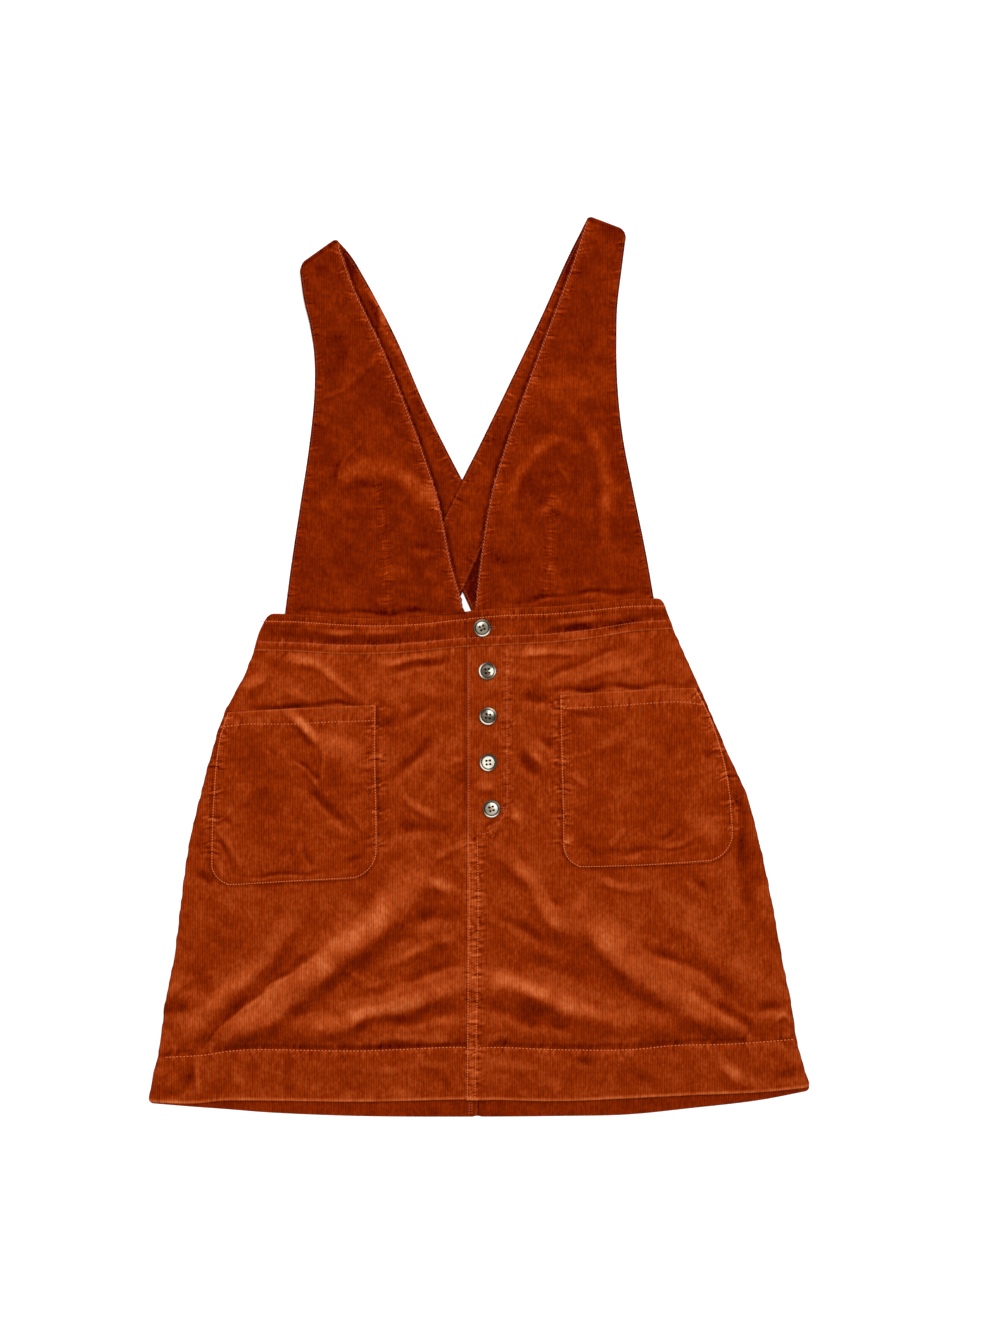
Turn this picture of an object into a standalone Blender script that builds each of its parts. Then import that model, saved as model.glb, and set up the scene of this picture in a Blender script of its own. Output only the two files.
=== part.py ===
"""A corduroy pinafore dress, laid flat with its front up.

Two bibs taper into shoulder straps that fold over and cross on the back.  Below them are a waistband,
a buttoned front skirt of two panels, a back skirt of two panels and two patch pockets.

X runs across the garment, Y from the hem to the shoulders and Z up from the surface it lies on.  The
origin is on that surface, in the middle of the garment's outline.  Sizes are in millimetres, and are
turned into metres when a mesh is made.  "Left" is towards -X and "right" towards +X.
"""
import math
from collections import namedtuple

import bmesh
import bpy
from mathutils import Vector

METRE = 0.001

# ---- Cloth -----------------------------------------------------------------------------------
CLOTH = 1.4            # one layer of corduroy, as a wall
BAND = 2.4             # waistband: two layers and the turned-in seams
DOUBLE = 2.0           # bibs and straps: two layers
POCKET = 1.4           # patch pocket
GAP = 0.3              # between pieces, at seams and between layers
POCKET_GAP = 0.5       # under a pocket, whose grid is set otherwise than the panel's below it
HEM_DEPTH = 45.0       # turned-up hem of the skirt
HEM_STEP = 0.7         # how far the second layer of the hem stands proud
HEM_STEP_RUN = 2.0     # length over which the wall thickens there

# ---- How the layers lie on each other --------------------------------------------------------
FRONT_REST = DOUBLE + GAP      # underside of the front, over the back
SIDE_REST = CLOTH + GAP        # the same at the side seams, where the front rolls down
SIDE_ROLL = 14.0               # width of that roll
BILLOW = 1.6                   # air between front and back skirt
BILLOW_RUN = 45.0              # distance over which it builds up from an edge
FLOOR_REST = 0.2               # underside of a bib where nothing lies below it
STRAP_MARGIN = 11.0            # the right strap stays lifted this far past the left one's edge
BIB_MARGIN = 18.0              # and a bib this far past a strap's edge
STRAP_DRAPE = 16.0             # the cloth comes down over this length
WAIST_DRAPE = 38.0             # length over which a bib comes down from the waistband

# ---- Centre front ----------------------------------------------------------------------------
FOLD_EDGE = -11.3              # folded edge of the right panel
PLACKET_UNDER = 18.6           # how far the left panel runs under it behind the buttons
SEAM_UNDER = -1.4              # and in the felled seam below them
PLACKET_END = -149.8           # height where the placket ends
PLACKET_RUN = 30.0             # height over which the underlap narrows
OVERLAP_MARGIN = 2.0           # the right panel stays lifted this far past that edge
OVERLAP_RUN = 12.0             # and comes down over this width
CENTRE_BACK = -2.7             # seam of the two back panels

# ---- Shoulder fold ---------------------------------------------------------------------------
FOLD_LIFT = 2.0                # extra height of a bib at its fold
FOLD_LIFT_RUN = 45.0
FOLD_TAIL = 11.0               # length of the bib behind the fold, up to the strap's seam
FOLD_STEPS = 6                 # steps round the fold

# ---- Fineness of the meshes ------------------------------------------------------------------
SKIRT_COLUMNS = 26
SKIRT_ROWS = 31                # above the hem
BIB_COLUMNS = 10
BIB_ROWS = 24
STRAP_COLUMNS = 4
STRAP_ROWS = 24
BACK_COLUMNS = 8
BACK_ROWS = 16
BAND_COLUMNS = 18
BAND_ROWS = 2
POCKET_COLUMNS = 14
POCKET_ROWS = 12
COVER_STEPS = 16               # sections read when measuring the distance to a strap
EDGE_ROUNDS = 8                # rounds of settling a point between curved edges
HEM_ROW_SHARE = 0.006          # half the width of the rows beside the hem's step, as a share
START_CROWDING = 0.55          # first step of the lapped panels, as a share of an even one

# ---- Button ----------------------------------------------------------------------------------
BUTTON_RADIUS = 7.9
BUTTON_SIDES = 20
HOLES = 4
HOLE_RADIUS = 0.85
HOLE_OFFSET = 2.3
HOLE_SIDES = 6
DRILL_LENGTH = 8.0

# ---- Colours ---------------------------------------------------------------------------------
Finish = namedtuple("Finish", "colour roughness")
RUST = Finish(colour=(0.36, 0.075, 0.012), roughness=0.9)
RUST_INSIDE = Finish(colour=(0.26, 0.05, 0.01), roughness=0.95)
HORN = Finish(colour=(0.27, 0.24, 0.19), roughness=0.35)

# ---- Outline of the body: its two sides at a height ------------------------------------------
Side = namedtuple("Side", "y left right")
SIDES = [
    Side(y=60, left=-190.0, right=166.0),
    Side(y=48, left=-191.5, right=170.5),
    Side(y=32, left=-199.0, right=176.5),
    Side(y=15, left=-204.0, right=184.0),
    Side(y=-10, left=-214.0, right=195.5),
    Side(y=-40, left=-230.0, right=208.5),
    Side(y=-75, left=-241.5, right=223.5),
    Side(y=-115, left=-252.0, right=241.5),
    Side(y=-160, left=-262.5, right=253.5),
    Side(y=-215, left=-270.0, right=265.0),
    Side(y=-265, left=-276.5, right=274.0),
    Side(y=-305, left=-284.5, right=281.0),
    Side(y=-340, left=-288.5, right=286.0),
    Side(y=-378, left=-296.8, right=297.6),
    Side(y=-400, left=-299.2, right=300.6),
]

# ---- Waistband seams: height of its two edges along X ----------------------------------------
Waist = namedtuple("Waist", "x top bottom")
WAIST = [
    Waist(x=-215, top=49.0, bottom=15.5),
    Waist(x=-162, top=48.0, bottom=14.0),
    Waist(x=-126, top=45.5, bottom=12.0),
    Waist(x=-89, top=44.5, bottom=12.0),
    Waist(x=-53, top=46.0, bottom=14.5),
    Waist(x=-17, top=50.0, bottom=18.0),
    Waist(x=19, top=53.5, bottom=20.0),
    Waist(x=69, top=55.5, bottom=22.5),
    Waist(x=107, top=59.0, bottom=27.0),
    Waist(x=137, top=62.0, bottom=32.0),
    Waist(x=172, top=62.5, bottom=34.5),
    Waist(x=190, top=62.5, bottom=35.5),
]

# ---- Hem: height of the lower edge along X ---------------------------------------------------
Hem = namedtuple("Hem", "x front back")
HEM = [
    Hem(x=-300, front=-393.0, back=-394.0),
    Hem(x=-258, front=-394.0, back=-397.5),
    Hem(x=-230, front=-391.5, back=-399.5),
    Hem(x=-192, front=-391.5, back=-402.5),
    Hem(x=-110, front=-392.5, back=-405.8),
    Hem(x=-5, front=-390.5, back=-406.4),
    Hem(x=73, front=-392.0, back=-405.8),
    Hem(x=133, front=-389.5, back=-404.5),
    Hem(x=193, front=-386.5, back=-398.5),
    Hem(x=253, front=-384.0, back=-391.5),
    Hem(x=300, front=-379.5, back=-382.5),
]

# ---- Bibs and straps: sections from the armhole edge to the neck edge ------------------------
Section = namedtuple("Section", "arm_x arm_y neck_x neck_y")
BIB_LEFT = [
    Section(arm_x=-175.5, arm_y=44.0, neck_x=-14.8, neck_y=44.0),
    Section(arm_x=-170.5, arm_y=85.5, neck_x=-24.0, neck_y=85.5),
    Section(arm_x=-161.0, arm_y=149.0, neck_x=-36.5, neck_y=149.0),
    Section(arm_x=-154.0, arm_y=194.0, neck_x=-52.0, neck_y=194.0),
    Section(arm_x=-148.5, arm_y=247.5, neck_x=-72.5, neck_y=247.5),
    Section(arm_x=-148.5, arm_y=286.0, neck_x=-90.0, neck_y=291.0),
    Section(arm_x=-151.5, arm_y=309.0, neck_x=-101.0, neck_y=315.0),
    Section(arm_x=-156.5, arm_y=331.0, neck_x=-113.5, neck_y=344.0),
    Section(arm_x=-159.8, arm_y=358.3, neck_x=-129.0, neck_y=383.8),
]
BIB_RIGHT = [
    Section(arm_x=158.0, arm_y=55.0, neck_x=-5.2, neck_y=45.0),
    Section(arm_x=150.0, arm_y=103.0, neck_x=1.0, neck_y=100.0),
    Section(arm_x=139.0, arm_y=157.0, neck_x=11.5, neck_y=159.0),
    Section(arm_x=129.0, arm_y=208.5, neck_x=26.5, neck_y=208.5),
    Section(arm_x=124.5, arm_y=250.0, neck_x=41.5, neck_y=250.0),
    Section(arm_x=123.0, arm_y=291.0, neck_x=56.5, neck_y=291.0),
    Section(arm_x=123.5, arm_y=325.0, neck_x=70.0, neck_y=327.0),
    Section(arm_x=127.5, arm_y=363.0, neck_x=86.0, neck_y=371.5),
    Section(arm_x=130.7, arm_y=390.7, neck_x=98.0, neck_y=403.4),
]
STRAP_LEFT = [
    Section(arm_x=-159.8, arm_y=358.3, neck_x=-129.0, neck_y=383.8),
    Section(arm_x=-138.0, arm_y=331.5, neck_x=-106.5, neck_y=356.0),
    Section(arm_x=-112.5, arm_y=280.0, neck_x=-78.0, neck_y=299.0),
    Section(arm_x=-86.5, arm_y=217.5, neck_x=-49.5, neck_y=235.0),
    Section(arm_x=-54.5, arm_y=149.0, neck_x=-16.0, neck_y=170.5),
    Section(arm_x=-24.0, arm_y=89.0, neck_x=17.0, neck_y=111.0),
    Section(arm_x=-5.5, arm_y=49.0, neck_x=50.0, neck_y=53.0),
]
STRAP_RIGHT = [
    Section(arm_x=130.7, arm_y=390.7, neck_x=98.0, neck_y=403.4),
    Section(arm_x=118.5, arm_y=353.5, neck_x=82.5, neck_y=370.5),
    Section(arm_x=96.5, arm_y=300.0, neck_x=59.5, neck_y=318.0),
    Section(arm_x=68.5, arm_y=242.0, neck_x=31.0, neck_y=260.0),
    Section(arm_x=42.0, arm_y=187.5, neck_x=3.5, neck_y=207.0),
    Section(arm_x=8.5, arm_y=119.0, neck_x=-31.0, neck_y=138.0),
    Section(arm_x=-25.0, arm_y=47.0, neck_x=-74.5, neck_y=43.0),
]

# ---- Patch pockets: a section across at a height ---------------------------------------------
PocketSide = namedtuple("PocketSide", "y left right")
PocketEdge = namedtuple("PocketEdge", "x top bottom")
POCKET_LEFT_SIDES = [
    PocketSide(y=-33, left=-224.0, right=-93.3),
    PocketSide(y=-55, left=-232.5, right=-93.6),
    PocketSide(y=-75, left=-236.5, right=-93.8),
    PocketSide(y=-125, left=-240.6, right=-92.5),
    PocketSide(y=-197, left=-242.5, right=-92.3),
]
POCKET_LEFT_EDGES = [
    PocketEdge(x=-243, top=-41.5, bottom=-196.5),
    PocketEdge(x=-182, top=-37.8, bottom=-193.8),
    PocketEdge(x=-92, top=-33.6, bottom=-190.5),
]
POCKET_RIGHT_SIDES = [
    PocketSide(y=-18, left=72.5, right=195.0),
    PocketSide(y=-45, left=73.0, right=208.5),
    PocketSide(y=-94, left=74.0, right=223.3),
    PocketSide(y=-142, left=75.2, right=228.5),
    PocketSide(y=-180, left=75.6, right=229.5),
]
POCKET_RIGHT_EDGES = [
    PocketEdge(x=72, top=-24.9, bottom=-180.5),
    PocketEdge(x=156, top=-19.5, bottom=-178.5),
    PocketEdge(x=231, top=-18.0, bottom=-175.0),
]
POCKET_CORNER = 20.0

# ---- Largest folds of the skirt: bows through three points, troughs below 0 ------------------
Fold = namedtuple("Fold", "x0 y0 x1 y1 x2 y2 height reach")
FOLDS = [
    Fold(x0=-60, y0=-201, x1=-134, y1=-262, x2=-238, y2=-338, height=6.5, reach=27),
    Fold(x0=-135, y0=-322, x1=-80, y1=-301, x2=-10, y2=-286, height=4.0, reach=21),
    Fold(x0=-278, y0=-301, x1=-242, y1=-307, x2=-220, y2=-294, height=2.5, reach=16),
    Fold(x0=-257, y0=-358, x1=-218, y1=-312, x2=-149, y2=-257, height=-3.0, reach=13),
    Fold(x0=-92, y0=-285, x1=-56, y1=-273, x2=-20, y2=-256, height=-1.6, reach=15),
    Fold(x0=1, y0=-287, x1=52, y1=-297, x2=125, y2=-317, height=3.8, reach=20),
    Fold(x0=73, y0=-222, x1=162, y1=-282, x2=238, y2=-327, height=6.0, reach=26),
    Fold(x0=185, y0=-261, x1=208, y1=-282, x2=250, y2=-327, height=-3.0, reach=13),
]
FOLD_END = 0.35                # a fold's height at its ends, as a share of its middle's
HEM_BULGE = 2.6                # the cloth stands up above the stitched hem
HEM_BULGE_RUN = 17.0
HEM_BULGE_OFFSET = 20.0

# ---- Bust shaping: soft rises above the darts ------------------------------------------------
Rise = namedtuple("Rise", "x y height reach")
BIB_RISES = [
    Rise(x=-92, y=190, height=2.4, reach=42),
    Rise(x=66, y=190, height=2.4, reach=42),
]

# ---- Buttons: place and turn of the holes ----------------------------------------------------
ButtonPlace = namedtuple("ButtonPlace", "x y turn")
BUTTONS = [
    ButtonPlace(x=2.7, y=35.7, turn=62),
    ButtonPlace(x=7.1, y=-3.2, turn=38),
    ButtonPlace(x=7.8, y=-43.9, turn=52),
    ButtonPlace(x=8.1, y=-85.5, turn=40),
    ButtonPlace(x=10.9, y=-127.2, turn=55),
]
ButtonRing = namedtuple("ButtonRing", "radius z")
BUTTON_PROFILE = [
    ButtonRing(radius=0.0, z=2.3),
    ButtonRing(radius=4.6, z=2.1),
    ButtonRing(radius=5.3, z=1.9),
    ButtonRing(radius=6.6, z=3.1),
    ButtonRing(radius=7.6, z=2.7),
    ButtonRing(radius=BUTTON_RADIUS, z=1.8),
    ButtonRing(radius=6.4, z=0.4),
    ButtonRing(radius=4.0, z=0.0),
    ButtonRing(radius=0.0, z=0.0),
]


# ---- Small tools -----------------------------------------------------------------------------
def lerp(a, b, t):
    """The value a share t of the way from a to b."""
    return a + (b - a) * t


def ease(t):
    """0 below 0, 1 above 1, smooth between."""
    t = min(max(t, 0.0), 1.0)
    return t * t * (3.0 - 2.0 * t)


def bell(t):
    """1 at 0, 0 at 1 and beyond, smooth between."""
    t = min(abs(t), 1.0)
    return (1.0 - t * t) ** 2


def even(count):
    """Steps from 0 to 1, all alike."""
    return [i / count for i in range(count + 1)]


def crowded(count):
    """Steps from 0 to 1, closer together at both ends."""
    return [(1.0 - math.cos(math.pi * t)) / 2.0 for t in even(count)]


def closer_at_start(count):
    """Steps from 0 to 1, closer together at the start."""
    return [t * lerp(START_CROWDING, 1.0, t) for t in even(count)]


def curve(keys, values):
    """A smooth function through the pairs of keys and values, level with its ends beyond them."""
    pairs = sorted(zip(keys, values))
    xs = [pair[0] for pair in pairs]
    ys = [pair[1] for pair in pairs]
    steps = [(ys[i + 1] - ys[i]) / (xs[i + 1] - xs[i]) for i in range(len(xs) - 1)]
    slopes = [steps[0]] + [(a + b) / 2.0 for a, b in zip(steps, steps[1:])] + [steps[-1]]

    def value(x):
        x = min(max(x, xs[0]), xs[-1])
        i = 0
        while i < len(xs) - 2 and x > xs[i + 1]:
            i += 1
        width = xs[i + 1] - xs[i]
        t = (x - xs[i]) / width
        level = lerp(ys[i], ys[i + 1], ease(t))
        return level + width * t * (1.0 - t) * (slopes[i] * (1.0 - t) - slopes[i + 1] * t)

    return value


def column(table, key, name):
    """The curve of one column of a table over another."""
    return curve([getattr(row, key) for row in table], [getattr(row, name) for row in table])


def moved(edge, distance):
    """An edge function moved by a distance."""
    return lambda t: edge(t) + distance


def straight(value):
    """An edge function that is the same everywhere."""
    return lambda t: value


def flat(height):
    """A height function that is the same everywhere."""
    return lambda x, y: height


side_left = column(SIDES, "y", "left")
side_right = column(SIDES, "y", "right")
waist_top = column(WAIST, "x", "top")
waist_bottom = column(WAIST, "x", "bottom")
hem_front = column(HEM, "x", "front")
hem_back = column(HEM, "x", "back")


# ---- Bibs and straps seen from above ---------------------------------------------------------
def section_walk(table, steps, skip=0.0):
    """Sections read from the table's smooth curves, at steps from 0 to 1 along it.

    skip is the length left out at the table's start.
    """
    reach = [0.0]
    for before, after in zip(table, table[1:]):
        run = math.hypot(after.arm_x + after.neck_x - before.arm_x - before.neck_x,
                         after.arm_y + after.neck_y - before.arm_y - before.neck_y)
        reach.append(reach[-1] + run / 2.0)
    columns = [curve(reach, [getattr(row, name) for row in table]) for name in Section._fields]
    return [Section(*[read(lerp(skip, reach[-1], step)) for read in columns]) for step in steps]


def across_row(row, u):
    """X and Y on a section, u from its armhole edge to its neck edge, never below the waist seam."""
    x = lerp(row.arm_x, row.neck_x, u)
    return x, max(lerp(row.arm_y, row.neck_y, u), waist_top(x) + GAP)


def square_to(row):
    """Plan direction square to a section."""
    across = Vector((row.neck_x - row.arm_x, row.neck_y - row.arm_y)).normalized()
    return Vector((-across.y, across.x))


def strap_cover(table):
    """A function of x, y and a margin: 1 over the strap, falling to 0 past its edge."""
    rows = section_walk(table, even(COVER_STEPS))
    middles = [Vector(((row.arm_x + row.neck_x) / 2, (row.arm_y + row.neck_y) / 2)) for row in rows]
    halves = [math.hypot(row.arm_x - row.neck_x, row.arm_y - row.neck_y) / 2 for row in rows]

    def cover(x, y, margin):
        point = Vector((x, y))
        nearest = math.inf
        for i in range(len(rows) - 1):
            run = middles[i + 1] - middles[i]
            t = min(max((point - middles[i]).dot(run) / run.length_squared, 0.0), 1.0)
            past = (point - middles[i] - run * t).length - lerp(halves[i], halves[i + 1], t)
            nearest = min(nearest, past)
        return 1.0 - ease((nearest - margin) / STRAP_DRAPE)

    return cover


over_left_strap = strap_cover(STRAP_LEFT)
over_right_strap = strap_cover(STRAP_RIGHT)


# ---- Heights: the underside of each layer ----------------------------------------------------
def underlap(y):
    """X of the left panel's hidden edge, wide behind the buttons and narrow in the seam below."""
    return lerp(PLACKET_UNDER, SEAM_UNDER, ease((PLACKET_END + PLACKET_RUN / 2 - y) / PLACKET_RUN))


def overlap(x, y):
    """1 where the right panel lies on the left one, 0 clear of it."""
    return 1.0 - ease((x - underlap(y) - OVERLAP_MARGIN) / OVERLAP_RUN)


def fold_height(x, y):
    """Sum of the folds at a point: each is highest half way along its bow."""
    total = 0.0
    point = Vector((x, y))
    for fold in FOLDS:
        corners = [Vector((fold.x0, fold.y0)), Vector((fold.x1, fold.y1)), Vector((fold.x2, fold.y2))]
        nearest = math.inf
        place = 0.0
        for half in range(2):
            run = corners[half + 1] - corners[half]
            t = min(max((point - corners[half]).dot(run) / run.length_squared, 0.0), 1.0)
            distance = (point - corners[half] - run * t).length
            if distance < nearest:
                nearest = distance
                place = (half + t) / 2
        total += fold.height * lerp(FOLD_END, 1.0, math.sin(math.pi * place)) * bell(nearest / fold.reach)
    return total


def skirt_rest(x, y):
    """Underside of the front skirt."""
    side = min(x - side_left(y), side_right(y) - x)
    waist = waist_bottom(x) - y
    hem = y - hem_front(x)
    above_hem = hem - HEM_DEPTH
    roll = lerp(SIDE_REST, FRONT_REST, ease(side / SIDE_ROLL))
    air = BILLOW * ease(side / BILLOW_RUN) * ease(waist / BILLOW_RUN) * ease(hem / BILLOW_RUN)
    bulge = HEM_BULGE * bell((above_hem - HEM_BULGE_OFFSET) / HEM_BULGE_RUN) * ease(side / BILLOW_RUN)
    calm = ease(side / (2 * SIDE_ROLL)) * ease(above_hem / HEM_BULGE_RUN)
    return max(roll + air + bulge + calm * fold_height(x, y), SIDE_REST)


def skirt_over(x, y):
    """Underside of the right front panel, which steps over the left one."""
    return skirt_rest(x, y) + (CLOTH + HEM_STEP + GAP) * overlap(x, y)


def hem_wall(x, y):
    """Thickness of the front skirt: the hem is turned up and double."""
    return CLOTH + HEM_STEP * ease((hem_front(x) + HEM_DEPTH - y) / HEM_STEP_RUN)


def strap_over(x, y):
    """Underside of the right strap, which crosses over the left one."""
    return (DOUBLE + GAP) * over_left_strap(x, y, STRAP_MARGIN)


def near_waist(x, y):
    """1 at the waistband's upper seam, falling to 0 up the bib."""
    return 1.0 - ease((y - waist_top(x)) / WAIST_DRAPE)


def bib_rest(x, y):
    """Underside of a bib, which lies on the straps and the back waistband."""
    left = over_left_strap(x, y, BIB_MARGIN)
    right = over_right_strap(x, y, BIB_MARGIN)
    held = 1.0 - (1.0 - left) * (1.0 - right) * (1.0 - near_waist(x, y))
    bust = sum(rise.height * bell(math.hypot(x - rise.x, y - rise.y) / rise.reach) for rise in BIB_RISES)
    return lerp(FLOOR_REST, FRONT_REST, held) + (DOUBLE + GAP) * left * right + bust


def band_over(x, y):
    """Underside of the right waistband, which steps over the left one."""
    return FRONT_REST + (BAND + GAP) * overlap(x, y)


def bib_over(x, y):
    """Underside of the right bib, whose lower corner meets the lapped waistband."""
    lapped = lerp(FRONT_REST, band_over(x, y), near_waist(x, y))
    return max(bib_rest(x, y), lapped) if lapped > FRONT_REST else bib_rest(x, y)


def fold_lift(fold, x, y):
    """Extra height of a bib near its shoulder fold."""
    distance = abs(square_to(fold).dot(Vector((x - fold.arm_x, y - fold.arm_y))))
    return FOLD_LIFT * (1.0 - ease(distance / FOLD_LIFT_RUN))


# ---- Building --------------------------------------------------------------------------------
def plain_material(name, finish):
    """A Principled material of a finish's colour and roughness."""
    material = bpy.data.materials.new(name)
    material.use_nodes = True
    shader = material.node_tree.nodes["Principled BSDF"]
    shader.inputs["Base Color"].default_value = (*finish.colour, 1.0)
    shader.inputs["Roughness"].default_value = finish.roughness
    shader.inputs["Metallic"].default_value = 0.0
    material.diffuse_color = (*finish.colour, 1.0)
    return material


def add_object(name, mesh, finish, collection):
    """An object of a mesh, with its own material."""
    mesh.materials.append(plain_material(name, finish))
    piece = bpy.data.objects.new(name, mesh)
    collection.objects.link(piece)
    return piece


def cloth(name, place, across, along, wall, finish, collection, wall_at=None):
    """A cloth wall: a grid laid on the inner side, thickened outwards.

    place(u, v) gives a point of the inner side.  across and along are the grid's u and v.
    wall_at(x, y), where given, is the wall's own thickness at a point, up to wall.
    """
    sheet = bmesh.new()
    bmesh.ops.create_grid(sheet, x_segments=len(across) - 1, y_segments=len(along) - 1, size=0.5)
    shares = []
    for vert in sheet.verts:
        u = across[round((vert.co.x + 0.5) * (len(across) - 1))]
        v = along[round((vert.co.y + 0.5) * (len(along) - 1))]
        point = Vector(place(u, v))
        vert.co = point * METRE
        shares.append(wall_at(point.x, point.y) / wall if wall_at else 1.0)
    sheet.normal_update()
    if sum(face.calc_area() * face.normal.z for face in sheet.faces) < 0.0:
        bmesh.ops.reverse_faces(sheet, faces=sheet.faces)
    mesh = bpy.data.meshes.new(name)
    sheet.to_mesh(mesh)
    sheet.free()
    mesh.shade_smooth()
    piece = add_object(name, mesh, finish, collection)
    group = piece.vertex_groups.new(name="wall share")
    for index, share in enumerate(shares):
        group.add([index], share, "REPLACE")
    thicken = piece.modifiers.new("Wall", "SOLIDIFY")
    thicken.thickness = wall * METRE
    thicken.offset = 1.0
    thicken.use_even_offset = True
    thicken.vertex_group = group.name


def between(left, right, bottom, top, height):
    """place(u, v) of a panel with edges left(y), right(y), bottom(x) and top(x), at height(x, y)."""
    def place(u, v):
        x = 0.0
        y = lerp(bottom(x), top(x), v)
        for _ in range(EDGE_ROUNDS):
            x = lerp(left(y), right(y), u)
            y = lerp(bottom(x), top(x), v)
        return x, y, height(x, y)

    return place


def build_skirt(collection):
    """Two front panels, the right one lapped over the left, and two back panels."""
    top = moved(waist_bottom, -GAP)
    hem_share = HEM_DEPTH / (top(0.0) - hem_front(0.0))
    rows = [0.0, hem_share / 2, hem_share - HEM_ROW_SHARE]
    rows += [lerp(hem_share + HEM_ROW_SHARE, 1.0, step) for step in even(SKIRT_ROWS)]
    cloth("skirt_front_left", between(side_left, underlap, hem_front, top, skirt_rest),
          even(SKIRT_COLUMNS), rows, CLOTH + HEM_STEP, RUST, collection, hem_wall)
    cloth("skirt_front_right", between(straight(FOLD_EDGE), side_right, hem_front, top, skirt_over),
          closer_at_start(SKIRT_COLUMNS), rows, CLOTH + HEM_STEP, RUST, collection, hem_wall)
    seam_left = straight(CENTRE_BACK - GAP / 2)
    seam_right = straight(CENTRE_BACK + GAP / 2)
    cloth("skirt_back_left", between(side_left, seam_left, hem_back, top, flat(0.0)),
          even(BACK_COLUMNS), even(BACK_ROWS), CLOTH, RUST_INSIDE, collection)
    cloth("skirt_back_right", between(seam_right, side_right, hem_back, top, flat(0.0)),
          even(BACK_COLUMNS), even(BACK_ROWS), CLOTH, RUST_INSIDE, collection)


def build_waistband(collection):
    """Two front bands, the right one lapped over the left, and one at the back."""
    cloth("waistband_front_left",
          between(side_left, straight(PLACKET_UNDER), waist_bottom, waist_top, flat(FRONT_REST)),
          even(BAND_COLUMNS), even(BAND_ROWS), BAND, RUST, collection)
    cloth("waistband_front_right",
          between(straight(FOLD_EDGE), side_right, waist_bottom, waist_top, band_over),
          closer_at_start(BAND_COLUMNS), even(BAND_ROWS), BAND, RUST, collection)
    cloth("waistband_back",
          between(side_left, side_right, waist_bottom, waist_top, flat(0.0)),
          even(BAND_COLUMNS), even(BAND_ROWS), DOUBLE, RUST_INSIDE, collection)


def build_bib(name, table, strap_table, height, collection):
    """A bib from the waistband to the shoulder, round the fold and down to the strap's seam."""
    rows = section_walk(table, even(BIB_ROWS))
    fold = table[-1]
    tail = section_walk(strap_table, [0.0], FOLD_TAIL)[0]
    outward = square_to(fold)
    if outward.y < 0.0:
        outward.negate()
    tail_row = BIB_ROWS + FOLD_STEPS + 1

    def place(u, v):
        if v == tail_row:
            return *across_row(tail, u), DOUBLE
        x, y = across_row(rows[min(v, BIB_ROWS)], u)
        upper = height(x, y) + fold_lift(fold, x, y)
        if v <= BIB_ROWS:
            return x, y, upper
        turn = math.pi * (v - BIB_ROWS) / FOLD_STEPS
        radius = (upper - DOUBLE) / 2.0
        out = outward * radius * math.sin(turn)
        return x + out.x, y + out.y, DOUBLE + radius * (1.0 + math.cos(turn))

    cloth(name, place, even(BIB_COLUMNS), range(tail_row + 1), DOUBLE, RUST, collection)


def build_strap(name, table, height, collection):
    """A back strap from its seam behind the shoulder fold to the back waistband."""
    rows = section_walk(table, even(STRAP_ROWS), FOLD_TAIL + GAP)

    def place(u, v):
        x, y = across_row(rows[v], u)
        return x, y, height(x, y)

    cloth(name, place, even(STRAP_COLUMNS), range(STRAP_ROWS + 1), DOUBLE, RUST, collection)


def build_pocket(name, sides, edges, height, collection):
    """A patch pocket with rounded lower corners, lying on the front skirt."""
    left = column(sides, "y", "left")
    right = column(sides, "y", "right")
    top = column(edges, "x", "top")
    base = column(edges, "x", "bottom")

    def bottom(x):
        y = base(x)
        inset = min(x - left(y), right(y) - x)
        rest = POCKET_CORNER - min(max(inset, 0.0), POCKET_CORNER)
        return y + POCKET_CORNER - math.sqrt(POCKET_CORNER ** 2 - rest ** 2)

    def lying(x, y):
        slope_x = height(x + 0.5, y) - height(x - 0.5, y)
        slope_y = height(x, y + 0.5) - height(x, y - 0.5)
        steep = math.sqrt(1.0 + slope_x ** 2 + slope_y ** 2)
        return height(x, y) + (CLOTH + POCKET_GAP) * steep

    cloth(name, between(left, right, bottom, top, lying),
          crowded(POCKET_COLUMNS), even(POCKET_ROWS), POCKET, RUST, collection)


def button_mesh():
    """The profile of a button, to be turned round Z."""
    profile = bmesh.new()
    verts = [profile.verts.new(Vector((ring.radius, 0.0, ring.z)) * METRE) for ring in BUTTON_PROFILE]
    for above, below in zip(verts, verts[1:]):
        profile.edges.new((above, below))
    mesh = bpy.data.meshes.new("button")
    profile.to_mesh(mesh)
    profile.free()
    return mesh


def hole_cutter(name, place, cutters):
    """A drill for one thread hole."""
    drill = bmesh.new()
    bmesh.ops.create_cone(drill, cap_ends=True, segments=HOLE_SIDES, radius1=HOLE_RADIUS * METRE,
                          radius2=HOLE_RADIUS * METRE, depth=DRILL_LENGTH * METRE)
    mesh = bpy.data.meshes.new(name)
    drill.to_mesh(mesh)
    drill.free()
    cutter = bpy.data.objects.new(name, mesh)
    cutter.location = place * METRE
    cutter.hide_render = True
    cutter.display_type = "WIRE"
    cutters.objects.link(cutter)
    return cutter


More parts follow.
